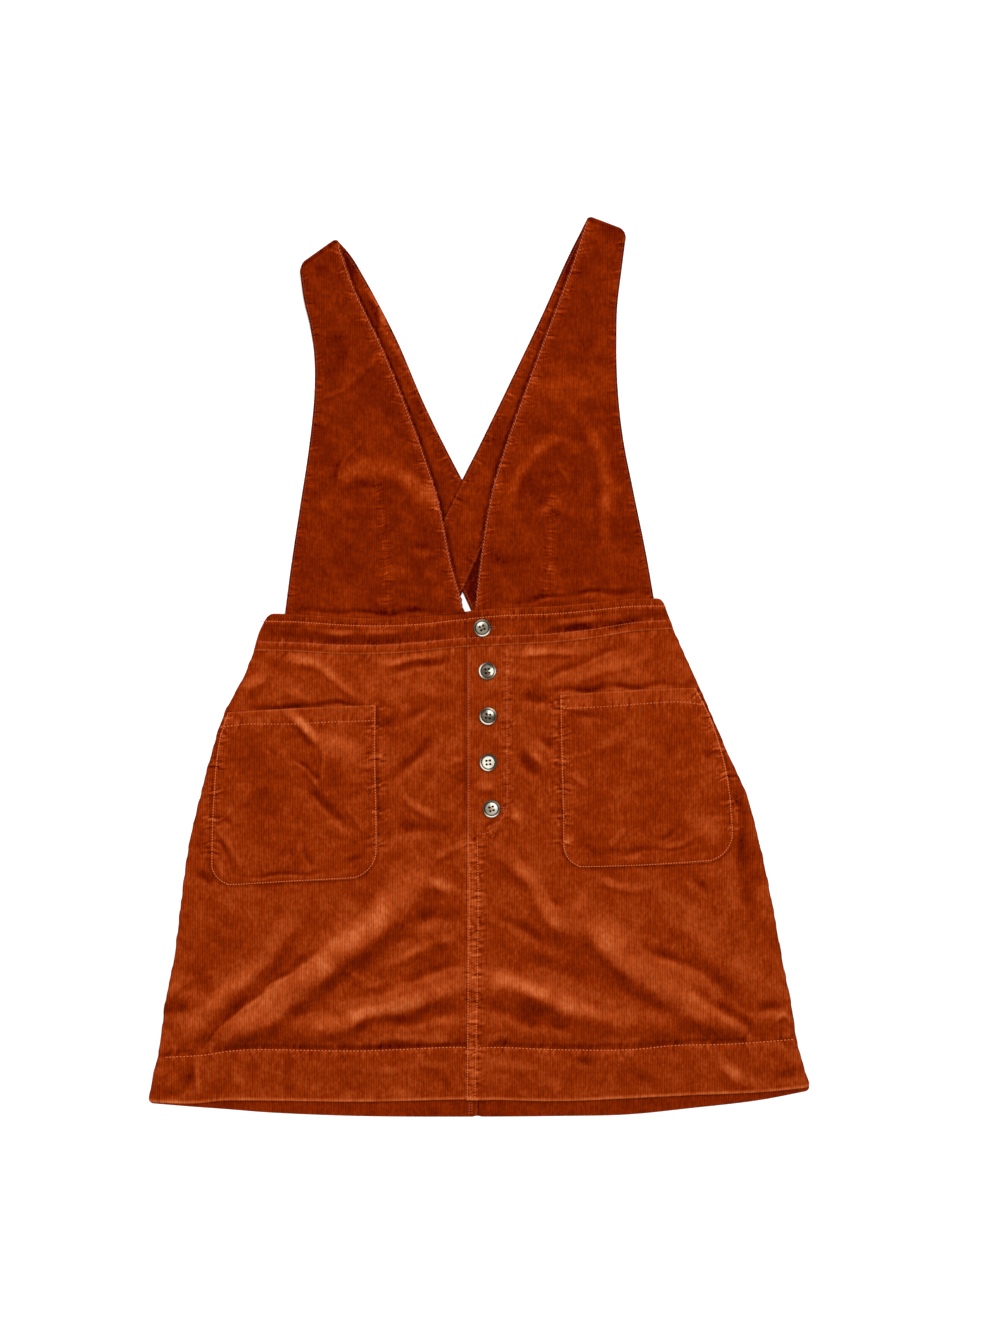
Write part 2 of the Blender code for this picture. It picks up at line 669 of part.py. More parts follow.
def build_button(name, spot, level, collection, cutters):
    """A turned button with four holes, lying at a level."""
    centre = Vector((spot.x, spot.y, level))
    button = add_object(name, button_mesh(), HORN, collection)
    button.location = centre * METRE
    turned = button.modifiers.new("Turned", "SCREW")
    turned.steps = BUTTON_SIDES
    turned.render_steps = BUTTON_SIDES
    turned.use_merge_vertices = True
    turned.merge_threshold = 0.00001
    turned.use_normal_calculate = True
    for corner in range(HOLES):
        angle = math.radians(spot.turn) + math.tau * corner / HOLES
        offset = Vector((math.cos(angle), math.sin(angle), 0.0)) * HOLE_OFFSET
        hole = button.modifiers.new("Hole", "BOOLEAN")
        hole.operation = "DIFFERENCE"
        hole.object = hole_cutter("%s_drill_%d" % (name, corner), centre + offset, cutters)


def build_buttons(collection, cutters):
    """Five buttons: the first on the waistband, the others down the placket."""
    for number, spot in enumerate(BUTTONS, start=1):
        on_band = number == 1
        below = band_over if on_band else skirt_over
        rim = [math.tau * step for step in even(BUTTON_SIDES)]
        rest = max(below(spot.x + BUTTON_RADIUS * math.cos(angle), spot.y + BUTTON_RADIUS * math.sin(angle))
                   for angle in rim)
        level = rest + (BAND if on_band else CLOTH) + GAP
        build_button("button_%d" % number, spot, level, collection, cutters)


def main():
    """Clear the scene and build the dress."""
    for old in list(bpy.data.objects):
        bpy.data.objects.remove(old)
    collection = bpy.data.collections.new("Pinafore dress")
    cutters = bpy.data.collections.new("Cutters")
    bpy.context.scene.collection.children.link(collection)
    bpy.context.scene.collection.children.link(cutters)
    build_skirt(collection)
    build_waistband(collection)
    build_bib("bib_left", BIB_LEFT, STRAP_LEFT, bib_rest, collection)
    build_bib("bib_right", BIB_RIGHT, STRAP_RIGHT, bib_over, collection)
    build_strap("strap_back_left", STRAP_LEFT, flat(0.0), collection)
    build_strap("strap_back_right", STRAP_RIGHT, strap_over, collection)
    build_pocket("pocket_left", POCKET_LEFT_SIDES, POCKET_LEFT_EDGES, skirt_rest, collection)
    build_pocket("pocket_right", POCKET_RIGHT_SIDES, POCKET_RIGHT_EDGES, skirt_over, collection)
    build_buttons(collection, cutters)


main()
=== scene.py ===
"""The looks of a corduroy pinafore dress that lies flat with its front up.

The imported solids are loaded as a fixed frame.  Each cloth piece is made here as a fine wall that
keeps its solid's place and layers, with creases, puckered seams and stitches of its own, and each
button is turned with its rim, dome, holes and thread.

Lengths are in millimetres until a mesh is made, and then in metres.  X runs across the garment,
Y from the hem to the shoulders and Z up from the surface it lies on.  "Left" is towards -X.
"""
from __future__ import annotations

import logging
from dataclasses import dataclass
from enum import Enum
from math import ceil, cos, hypot, pi, radians, sin, sqrt, tau
from typing import Any, Callable, ClassVar, NamedTuple, Sequence

import bmesh
import bpy
import numpy as np
from bpy.types import Material, Mesh, Node, NodeSocket, Object, ShaderNodeTree
from mathutils import Matrix, Vector

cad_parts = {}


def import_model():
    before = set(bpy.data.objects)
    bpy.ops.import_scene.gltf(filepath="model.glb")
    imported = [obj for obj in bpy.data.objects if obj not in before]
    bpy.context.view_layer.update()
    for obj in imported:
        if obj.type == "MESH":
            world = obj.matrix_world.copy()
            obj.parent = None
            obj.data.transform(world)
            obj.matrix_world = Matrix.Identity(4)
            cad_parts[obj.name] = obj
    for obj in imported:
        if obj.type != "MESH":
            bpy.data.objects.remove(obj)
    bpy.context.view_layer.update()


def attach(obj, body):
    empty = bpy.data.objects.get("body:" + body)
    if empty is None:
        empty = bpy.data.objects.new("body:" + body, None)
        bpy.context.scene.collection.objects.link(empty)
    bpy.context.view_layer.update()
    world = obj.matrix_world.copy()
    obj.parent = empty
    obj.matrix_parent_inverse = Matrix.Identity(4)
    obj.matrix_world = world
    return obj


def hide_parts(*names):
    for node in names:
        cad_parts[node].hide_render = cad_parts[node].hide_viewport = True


LOG = logging.getLogger("pinafore")
MM = 0.001
BODY = "root"

Array = np.ndarray
Value = float | Array
Point = tuple[float, float]
Row = tuple[float, ...]
Colour = tuple[float, float, float]
Edge = Callable[[Array], Array]
Height = Callable[[Array, Array], Array]


# ---- Small tools ----
def lerp(a: Value, b: Value, t: Value) -> Value:
    """The value a share t of the way from a to b."""
    return a + (b - a) * t


def ease(t: Value) -> Value:
    """0 below 0, 1 above 1, smooth between."""
    t = np.clip(t, 0.0, 1.0)
    return t * t * (3.0 - 2.0 * t)


def fade(t: Value) -> Value:
    """1 below 0, 0 above 1, smooth between."""
    return 1.0 - ease(t)


def bell(t: Value) -> Value:
    """1 at 0, 0 at 1 and beyond, smooth between."""
    t = np.minimum(np.abs(t), 1.0)
    return (1.0 - t * t) ** 2


def drawn_in(radius: float, to_end: Array) -> Array:
    """How far a rounded corner draws an edge in, at a distance from the edge's end."""
    rest = radius - np.clip(to_end, 0.0, radius)
    return radius - np.sqrt(radius ** 2 - rest ** 2)


def level(value: float) -> Callable[..., Array]:
    """A height or an edge that is the same everywhere."""
    return lambda x, *_: np.full_like(x, value)


def moved(edge: Edge, distance: float) -> Edge:
    """An edge moved by a distance."""
    return lambda t: edge(t) + distance


def paired(numbers: Row) -> list[Point]:
    """Points from a row that gives X and Y in turn."""
    return list(zip(numbers[::2], numbers[1::2]))


FINE_STEPS = (-1.7, -1.0, -0.4, 0.0, 0.4, 1.0, 1.7)
LEAST_STEP = 0.35


def spaced(length: float, cell: float, *marks: float) -> Array:
    """Stops along a length, a cell apart and closer beside the marks.

    Args:
        length: The whole length.
        cell: The usual distance between stops.
        *marks: Places that need finer steps, such as edges and stitched lines.

    Returns:
        The stops, from 0 to the length.
    """
    stops = list(np.linspace(0.0, length, ceil(length / cell) + 1))
    stops += [mark + step for mark in marks for step in FINE_STEPS]
    kept = [0.0]
    for stop in sorted(stops):
        if stop - kept[-1] > LEAST_STEP and length - stop > LEAST_STEP:
            kept.append(float(stop))
    return np.array(kept + [length])


class Curve:
    """A smooth function through pairs of numbers, level with its ends beyond them."""

    def __init__(self, keys: Sequence[float], values: Sequence[float]) -> None:
        """Sort the pairs and work out the slope at each.

        Args:
            keys: Where the values are given.
            values: The value at each key.
        """
        self.keys, self.values = np.array(sorted(zip(keys, values)), float).T
        steps = np.diff(self.values) / np.diff(self.keys)
        self.slopes = np.concatenate((steps[:1], (steps[:-1] + steps[1:]) / 2.0, steps[-1:]))

    def __call__(self, x: Array) -> Array:
        """Read the curve.

        Args:
            x: Places along it.

        Returns:
            The value at each place.
        """
        x = np.clip(x, self.keys[0], self.keys[-1])
        i = np.clip(np.searchsorted(self.keys, x, side="right") - 1, 0, len(self.keys) - 2)
        width = self.keys[i + 1] - self.keys[i]
        t = (x - self.keys[i]) / width
        between = lerp(self.values[i], self.values[i + 1], ease(t))
        return between + width * t * (1.0 - t) * (self.slopes[i] * (1.0 - t) - self.slopes[i + 1] * t)


def curves(rows: Sequence[Row]) -> list[Curve]:
    """Curves of a table's other columns over its first one."""
    keys, *columns = zip(*rows)
    return [Curve(keys, column) for column in columns]


class Line:
    """A smooth line over the cloth, seen from above."""

    def __init__(self, points: Sequence[Point], spacing: float = 2.5) -> None:
        """Run a smooth curve through the points and walk it in even steps.

        Args:
            points: Two points or more.
            spacing: The usual length of a step.
        """
        knots = np.array(points, float)
        knots = np.vstack((2 * knots[0] - knots[1], knots, 2 * knots[-1] - knots[-2]))
        fine = [knots[1]]
        for a, b, c, d in zip(knots, knots[1:], knots[2:], knots[3:]):
            for t in np.linspace(0.0, 1.0, 13)[1:]:
                fine.append(0.5 * (2 * b + (c - a) * t + (2 * a - 5 * b + 4 * c - d) * t ** 2
                                   + (3 * b - a - 3 * c + d) * t ** 3))
        route = np.array(fine)
        reach = np.concatenate(([0.0], np.cumsum(np.hypot(*np.diff(route, axis=0).T))))
        self.length = float(reach[-1])
        self.stops = np.linspace(0.0, self.length, max(2, round(self.length / spacing)) + 1)
        self.x = np.interp(self.stops, reach, route[:, 0])
        self.y = np.interp(self.stops, reach, route[:, 1])

    def near(self, x: Array, y: Array, reach: float) -> tuple[Array, Array, Array]:
        """Find the points close to the line.

        Args:
            x: The points' X.
            y: The points' Y.
            reach: How far from the line's box to look.

        Returns:
            The points' indices, their distance, above 0 on the line's left, and their place along it.
        """
        index = np.flatnonzero((x > self.x.min() - reach) & (x < self.x.max() + reach)
                               & (y > self.y.min() - reach) & (y < self.y.max() + reach))
        px, py = x[index], y[index]
        best, along, side = np.full(len(index), np.inf), np.zeros(len(index)), np.ones(len(index))
        for i in range(len(self.x) - 1):
            run_x, run_y = self.x[i + 1] - self.x[i], self.y[i + 1] - self.y[i]
            run = hypot(run_x, run_y)
            t = np.clip(((px - self.x[i]) * run_x + (py - self.y[i]) * run_y) / run ** 2, 0.0, 1.0)
            off_x, off_y = px - self.x[i] - run_x * t, py - self.y[i] - run_y * t
            distance = np.hypot(off_x, off_y)
            closer = distance < best
            best = np.where(closer, distance, best)
            along = np.where(closer, self.stops[i] + t * run, along)
            side = np.where(closer, np.where(run_x * off_y - run_y * off_x < 0.0, -1.0, 1.0), side)
        return index, best * side, along

    def walk(self, pitch: float) -> tuple[Array, Array, Array, Array]:
        """Points a pitch apart.

        Args:
            pitch: The distance between them.

        Returns:
            Their X and Y and the line's direction there.
        """
        count = max(1, round(self.length / pitch))
        stops = (np.arange(count) + 0.5) * self.length / count
        x, y = [np.interp(stops, self.stops, place) for place in (self.x, self.y)]
        run_x, run_y = [np.interp(stops + pitch / 3, self.stops, place)
                        - np.interp(stops - pitch / 3, self.stops, place) for place in (self.x, self.y)]
        run = np.hypot(run_x, run_y)
        return x, y, run_x / run, run_y / run


class Unevenness:
    """A smooth random unevenness over the cloth, about 0 and seldom beyond 2."""

    def __init__(self, seed: int, length: float, stretch: float = 1.0, waves: int = 16) -> None:
        """Draw the waves.

        Args:
            seed: The draw's seed.
            length: Their usual length.
            stretch: How much longer they are along Y.
            waves: Their number.
        """
        draw = np.random.default_rng(seed)
        angle = draw.uniform(0.0, tau, waves)
        spread = length * draw.uniform(0.7, 1.7, waves)
        self.across = tau * np.cos(angle) / spread
        self.along = tau * np.sin(angle) / (spread * stretch)
        self.phase = draw.uniform(0.0, tau, waves)

    def __call__(self, x: Array, y: Array) -> Array:
        """Read it.

        Args:
            x: The points' X.
            y: The points' Y.

        Returns:
            The unevenness at each point.
        """
        total = np.zeros_like(x)
        for across, along, phase in zip(self.across, self.along, self.phase):
            total += np.sin(across * x + along * y + phase)
        return total / sqrt(len(self.phase) / 2)


# ---- Marks on the cloth ----
@dataclass(eq=False)
class Mark:
    """A change beside a line: there the cloth rises or sinks, and its colour is painted lighter or darker as
    painted highlight and painted shade.
    """

    line: Line
    reach: float
    height: float = 0.0
    tone: float = 0.0
    loose: ClassVar[bool] = False

    def profile(self, distance: Array, along: Array) -> Array:
        """Its strength, full on the line.

        Args:
            distance: The points' distance from the line.
            along: Their place along it.

        Returns:
            The strength at each point.
        """
        return bell(distance / self.reach)

    def shape(self, x: Array, y: Array) -> tuple[Array, Array, Array]:
        """Find the points and its strength there.

        Args:
            x: The points' X.
            y: The points' Y.

        Returns:
            The points that it touches, and how strongly it changes their height and their tone.
        """
        index, distance, along = self.line.near(x, y, self.reach)
        strength = self.profile(distance, along)
        return index, strength, strength


class Fold(Mark):
    """A large soft ridge, or a trough where its height is below 0, highest half way along."""

    end_share = 0.35

    def profile(self, distance: Array, along: Array) -> Array:
        """Its strength, full on the middle of the line."""
        middle = np.sin(pi * along / self.line.length)
        return lerp(self.end_share, 1.0, middle) * bell(distance / self.reach)


class Crease(Mark):
    """A ridge or trough that fades towards both ends and is steeper on its lower side; above 0 its tone
    paints a highlight along the crest and a shade lip along the lower side, below 0 the other way round.
    """

    loose = True
    end_run, end_share = 0.3, 0.25
    steep, lip, lip_place, lip_width = 0.72, 0.45, 0.85, 0.6

    def shape(self, x: Array, y: Array) -> tuple[Array, Array, Array]:
        """Its points and strengths, as Mark says."""
        index, distance, along = self.line.near(x, y, 1.5 * self.reach)
        below = distance if self.line.x[-1] < self.line.x[0] else -distance
        end = np.minimum(along, self.line.length - along) / (self.end_run * self.line.length)
        end = lerp(self.end_share, 1.0, ease(end))
        crest = end * bell(below / np.where(below > 0.0, self.steep * self.reach, self.reach))
        # The lip changes only the tone: painted shade along the lower side, as light from above would leave
        # it.
        lip = end * bell((below - self.lip_place * self.reach) / (self.lip_width * self.reach))
        return index, crest, crest - self.lip * lip


@dataclass(eq=False)
class Puckers(Mark):
    """Small uneven ripples that a row of stitches draws across itself; their tone follows the ripples,
    painting highlight on the crests and shade in the troughs.
    """

    spacing: float = 6.0
    seed: int = 1
    slant: float = 0.12
    patchy: float = 0.45
    patch: ClassVar[float] = 5.3
    waves: ClassVar[tuple[Point, ...]] = ((1.0, 1.0), (0.8, 0.61), (0.6, 1.73), (0.35, 0.37))

    def profile(self, distance: Array, along: Array) -> Array:
        """Ripples along the line, dying away on both sides."""
        draw = np.random.default_rng(self.seed)
        skewed = along + self.slant * distance + 0.3 * self.spacing * np.sin(0.3 * distance + 0.17 * along)
        wave = np.zeros_like(along)
        for share, scale in self.waves:
            wave += share * np.sin(tau * skewed / (self.spacing * scale) + draw.uniform(0.0, tau))
        patches = np.sin(tau * along / (self.spacing * self.patch) + draw.uniform(0.0, tau))
        return wave / 1.5 * (1.0 + self.patchy * (patches - 1.0)) * bell(distance / self.reach)


@dataclass(eq=False)
class Allowance(Mark):
    """A turned-in strip that shows through the cloth as a low step on one side of a line."""

    left: bool = True
    edge: float = 1.6
    fade: float = 0.0

    def profile(self, distance: Array, along: Array) -> Array:
        """Level over the strip, coming down over a short run at both its edges."""
        inside = distance if self.left else -distance
        ends = np.minimum(along, self.line.length - along)
        step = ease((self.reach - inside) / self.edge) * ease(inside / self.edge + 1.0)
        return step * (ease(ends / self.fade) if self.fade else 1.0)


STRAY, STRAYS = 1.2, (Unevenness(901, 38.0), Unevenness(902, 38.0))
WEAKEN, WEAK, WEAK_LIMITS = 0.26, Unevenness(903, 27.0), (0.15, 1.9)


def survey(marks: Sequence[Mark], x: Array, y: Array) -> tuple[Array, Array]:
    """What marks do together.

    Args:
        marks: The marks.
        x: The points' X.
        y: The points' Y.

    Returns:
        How far each point rises, and how much lighter or darker its colour is painted, as painted highlight
        and painted shade.
    """
    rise, tone = np.zeros_like(x), np.zeros_like(x)
    strayed = [place + STRAY * stray(x, y) for place, stray in zip((x, y), STRAYS)]
    firm = np.clip(1.0 + WEAKEN * WEAK(x, y), *WEAK_LIMITS)
    for mark in marks:
        index, strength, shade = mark.shape(*strayed) if mark.loose else mark.shape(x, y)
        rise[index] += mark.height * strength
        tone[index] += mark.tone * (shade * firm[index] if mark.loose else shade)
    return rise, tone


PLACED_STEP, CREASE_HEIGHT, CREASE_TONE = 6.0, 1.4, 0.80


def crease(reach: float, tone: float, *points: float, height: float | None = None) -> Crease:
    """A crease through points, its tone painted along it as highlight above 0 and shade below 0, and as high
    as its tone unless its height is given.
    """
    height = CREASE_HEIGHT * tone if height is None else height
    return Crease(Line(paired(points), PLACED_STEP), reach, height, CREASE_TONE * tone)


def placed(*rows: Row | Mark) -> list[Mark]:
    """Marks from rows: a plain row is a crease."""
    return [crease(*row) if isinstance(row, tuple) else row for row in rows]


def shadow(reach: float, tone: float, *points: float) -> Mark:
    """A painted shadow along a line through points, or a painted highlight where its tone is above 0, at the
    cloth's own height.
    """
    return Mark(Line(paired(points), PLACED_STEP), reach, 0.0, tone)


def fold(reach: float, height: float, *points: float) -> Fold:
    """A large fold through points."""
    return Fold(Line(paired(points), PLACED_STEP), reach, height)


def stitched(line: Line, depth: float = 0.35, reach: float = 2.2, tone: float = 0.04) -> Mark:
    """The groove that a row of stitches makes, with its colour painted along it: darker as painted shade
    where the tone is below 0, lighter above.
    """
    return Mark(line, reach, -depth, tone)


@dataclass
class Surface:
    """The face of one piece: how its pile lies, its marks and a fine unevenness."""

    base: float
    marks: Sequence[Mark]
    seed: int
    rough: float = 0.1
    cloudy: float = 0.026
    patchy: float = 0.026

    def __post_init__(self) -> None:
        """Draw the unevenness."""
        self.bumps = Unevenness(self.seed, 24.0, 0.8)
        self.clouds = Unevenness(self.seed + 100, 46.0)
        self.patches = Unevenness(self.seed + 200, 17.0, 0.7)

    def survey(self, x: Array, y: Array) -> tuple[Array, Array]:
        """How far each point rises, and its tone."""
        (rise, tone), cloud = survey(self.marks, x, y), self.base + self.cloudy * self.clouds(x, y)
        return rise + self.rough * self.bumps(x, y), tone + (cloud + self.patchy * self.patches(x, y))

    def rise(self, x: Array, y: Array) -> Array:
        """How far each point rises."""
        return self.survey(x, y)[0]


# ---- Cut of the garment ----
@dataclass
class Body:
    """The outline of skirt and waistband, and the lines of the centre front."""

    sides: tuple[Row, ...] = (  # y, left, right
        (60, -190, 166), (48, -191.5, 170.5), (32, -199, 176.5), (15, -204, 184), (-10, -214, 195.5),
        (-40, -230, 208.5), (-75, -241.5, 223.5), (-115, -252, 241.5), (-160, -262.5, 253.5),
        (-215, -270, 265), (-265, -276.5, 274), (-305, -284.5, 282), (-340, -288.5, 287.4),
        (-378, -296.8, 297.6), (-400, -299.2, 300.6))
    waist: tuple[Row, ...] = (  # x, upper seam, lower seam
        (-215, 49, 15.5), (-162, 48, 14), (-126, 45.5, 12), (-89, 44.5, 12), (-53, 46, 14.5), (-17, 50, 18),
        (19, 53.5, 20), (69, 55.5, 22.5), (107, 59, 27), (137, 62, 32), (172, 62.5, 34.5), (190, 62.5, 35.5))
    hem: tuple[Row, ...] = (  # x, the front's edge, the back's edge
        (-300, -393, -394), (-258, -394, -397.5), (-230, -391.5, -399.5), (-192, -391.5, -402.5),
        (-110, -392.5, -405.8), (-5, -390.5, -406.4), (73, -392, -405.8), (133, -389.5, -404.5),
        (193, -386.5, -398.5), (253, -384, -391.5), (300, -379.5, -382.5))
    hem_depth: float = 45.0
    hem_corner: float = 3.5
    corner_run: float = 20.0
    fold_edge: float = -11.3
    placket_under: float = 18.6
    seam_under: float = -1.4
    placket_end: float = -149.8
    placket_run: float = 30.0
    centre_back: float = -1.9

    def __post_init__(self) -> None:
        """Make the edge curves."""
        self.side_left, self.side_right = curves(self.sides)
        self.waist_top, self.waist_bottom = curves(self.waist)
        self.hem_front, self.hem_back = curves(self.hem)

    def underlap(self, y: Array) -> Array:
        """X of the left panel's hidden edge at a height."""
        t = (self.placket_end + self.placket_run / 2 - y) / self.placket_run
        return lerp(self.placket_under, self.seam_under, ease(t))

    def cornered(self, y: Array, outer: Array, low: Array) -> Array:
        """Y with the hem's outer corner rounded, from the distances to the side and to the hem."""
        return y + drawn_in(self.hem_corner, outer) * fade(low / self.corner_run)


class StrapRoute:
    """The sections of a bib or a back strap, walked by length."""

    def __init__(self, *sections: Row) -> None:
        """Make a curve of each column over the length.

        Args:
            *sections: X and Y at the armhole edge and at the neck edge, one section after the other.
        """
        reach = [0.0]
        for a, b in zip(sections, sections[1:]):
            reach.append(reach[-1] + hypot(b[0] + b[2] - a[0] - a[2], b[1] + b[3] - a[1] - a[3]) / 2.0)
        self.length = reach[-1]
        self.columns = [Curve(reach, column) for column in zip(*sections)]

    def ends(self, reach: Value) -> list[Array]:
        """X and Y at the armhole edge and at the neck edge, at a length along."""
        return [column(reach) for column in self.columns]

    def across(self, u: Array, reach: Array) -> tuple[Array, Array]:
        """X and Y at a share u from armhole to neck edge, at a length along."""
        arm_x, arm_y, neck_x, neck_y = self.ends(reach)
        return lerp(arm_x, neck_x, u), lerp(arm_y, neck_y, u)

    def width(self, reach: Array) -> Array:
        """Width of the section at a length along."""
        arm_x, arm_y, neck_x, neck_y = self.ends(reach)
        return np.hypot(neck_x - arm_x, neck_y - arm_y)

    def edge(self, neck: bool, inset: float, start: float = 0.0, end: float = 0.0) -> Line:
        """A line beside an edge.

        Args:
            neck: True for the neck edge, False for the armhole edge.
            inset: Its distance from that edge.
            start: The length left out at the start.
            end: The length left out at the end.

        Returns:
            The line.
        """
        stops = np.linspace(start, self.length - end, 24)
        share = inset / self.width(stops)
        return Line(list(zip(*self.across(1.0 - share if neck else share, stops))))

    def crossing(self, u: Array, seam: Edge, low: float, high: float) -> Array:
        """Where a seam line crosses the route.

        Args:
            u: Shares from armhole to neck edge.
            seam: The seam's Y at an X.
            low: A length along before the seam.
            high: A length along past it.

        Returns:
            The length along at which each share meets the seam.
        """
        shares = np.linspace(0.0, 1.0, 33)
        before, after = np.full_like(shares, low), np.full_like(shares, high)
        x, y = self.across(shares, before)
        starts_below = y < seam(x)
        for _ in range(20):
            middle = (before + after) / 2.0
            x, y = self.across(shares, middle)
            same = (y < seam(x)) == starts_below
            before, after = np.where(same, middle, before), np.where(same, after, middle)
        return np.interp(u, shares, after)

    def cover(self, x: Array, y: Array, margin: float, drape: float) -> Array:
        """How far a layer above is held up by the strap.

        Args:
            x: The points' X.
            y: The points' Y.
            margin: How far past its edges the strap still holds the layer.
            drape: The run over which the layer comes down.

        Returns:
            1 over the strap and its margin, falling to 0.
        """
        stops = np.linspace(0.0, self.length, 17)
        arm_x, arm_y, neck_x, neck_y = self.ends(stops)
        middle_x, middle_y = (arm_x + neck_x) / 2, (arm_y + neck_y) / 2
        half = np.hypot(neck_x - arm_x, neck_y - arm_y) / 2
        nearest = np.full_like(x, np.inf)
        for i in range(len(stops) - 1):
            run_x, run_y = middle_x[i + 1] - middle_x[i], middle_y[i + 1] - middle_y[i]
            t = ((x - middle_x[i]) * run_x + (y - middle_y[i]) * run_y) / (run_x ** 2 + run_y ** 2)
            t = np.clip(t, 0.0, 1.0)
            past = np.hypot(x - middle_x[i] - run_x * t, y - middle_y[i] - run_y * t)
            nearest = np.minimum(nearest, past - lerp(half[i], half[i + 1], t))
        return fade((nearest - margin) / drape)


BIB_LEFT = StrapRoute(
    (-176.2, 44, -13.1, 44), (-173.9, 64, -16.6, 64), (-171.3, 85.5, -23, 85.5), (-161.8, 149, -36.4, 149),
    (-154.9, 194, -50.4, 194), (-149.3, 247.5, -70.5, 247.5), (-149.7, 286, -88.4, 291),
    (-153.1, 309, -99.9, 315), (-158.4, 331, -113.4, 344), (-162.4, 360.4, -127.6, 385.2))
BIB_RIGHT = StrapRoute(
    (158.8, 55, -5.2, 45), (150.8, 103, 1, 100), (139.8, 157, 11, 159), (129.8, 208.5, 26, 208.5),
    (125.3, 250, 41, 250), (123.8, 291, 56, 291), (124.5, 325, 69.8, 327), (129, 363, 86.2, 371.5),
    (132.6, 391.8, 97.2, 405.2))
STRAP_LEFT = StrapRoute(
    (-162.4, 360.4, -127.6, 385.2), (-151, 349, -117, 373.4), (-138, 331.5, -106.3, 356.2),
    (-112.5, 280, -76.4, 299.8), (-86.5, 217.5, -48.6, 235.4), (-54.5, 149, -16, 170.5),
    (-24.7, 88.6, 17, 111), (-6.3, 48.6, 50, 53))
STRAP_RIGHT = StrapRoute(
    (132.6, 391.8, 97.2, 405.2), (118.5, 353.5, 80.2, 371.5), (96.5, 300, 56.9, 319.3),
    (68.5, 242, 29.2, 261), (42, 187.5, 3.1, 207.2), (8.5, 119, -31, 138), (-25, 47, -74.5, 43))
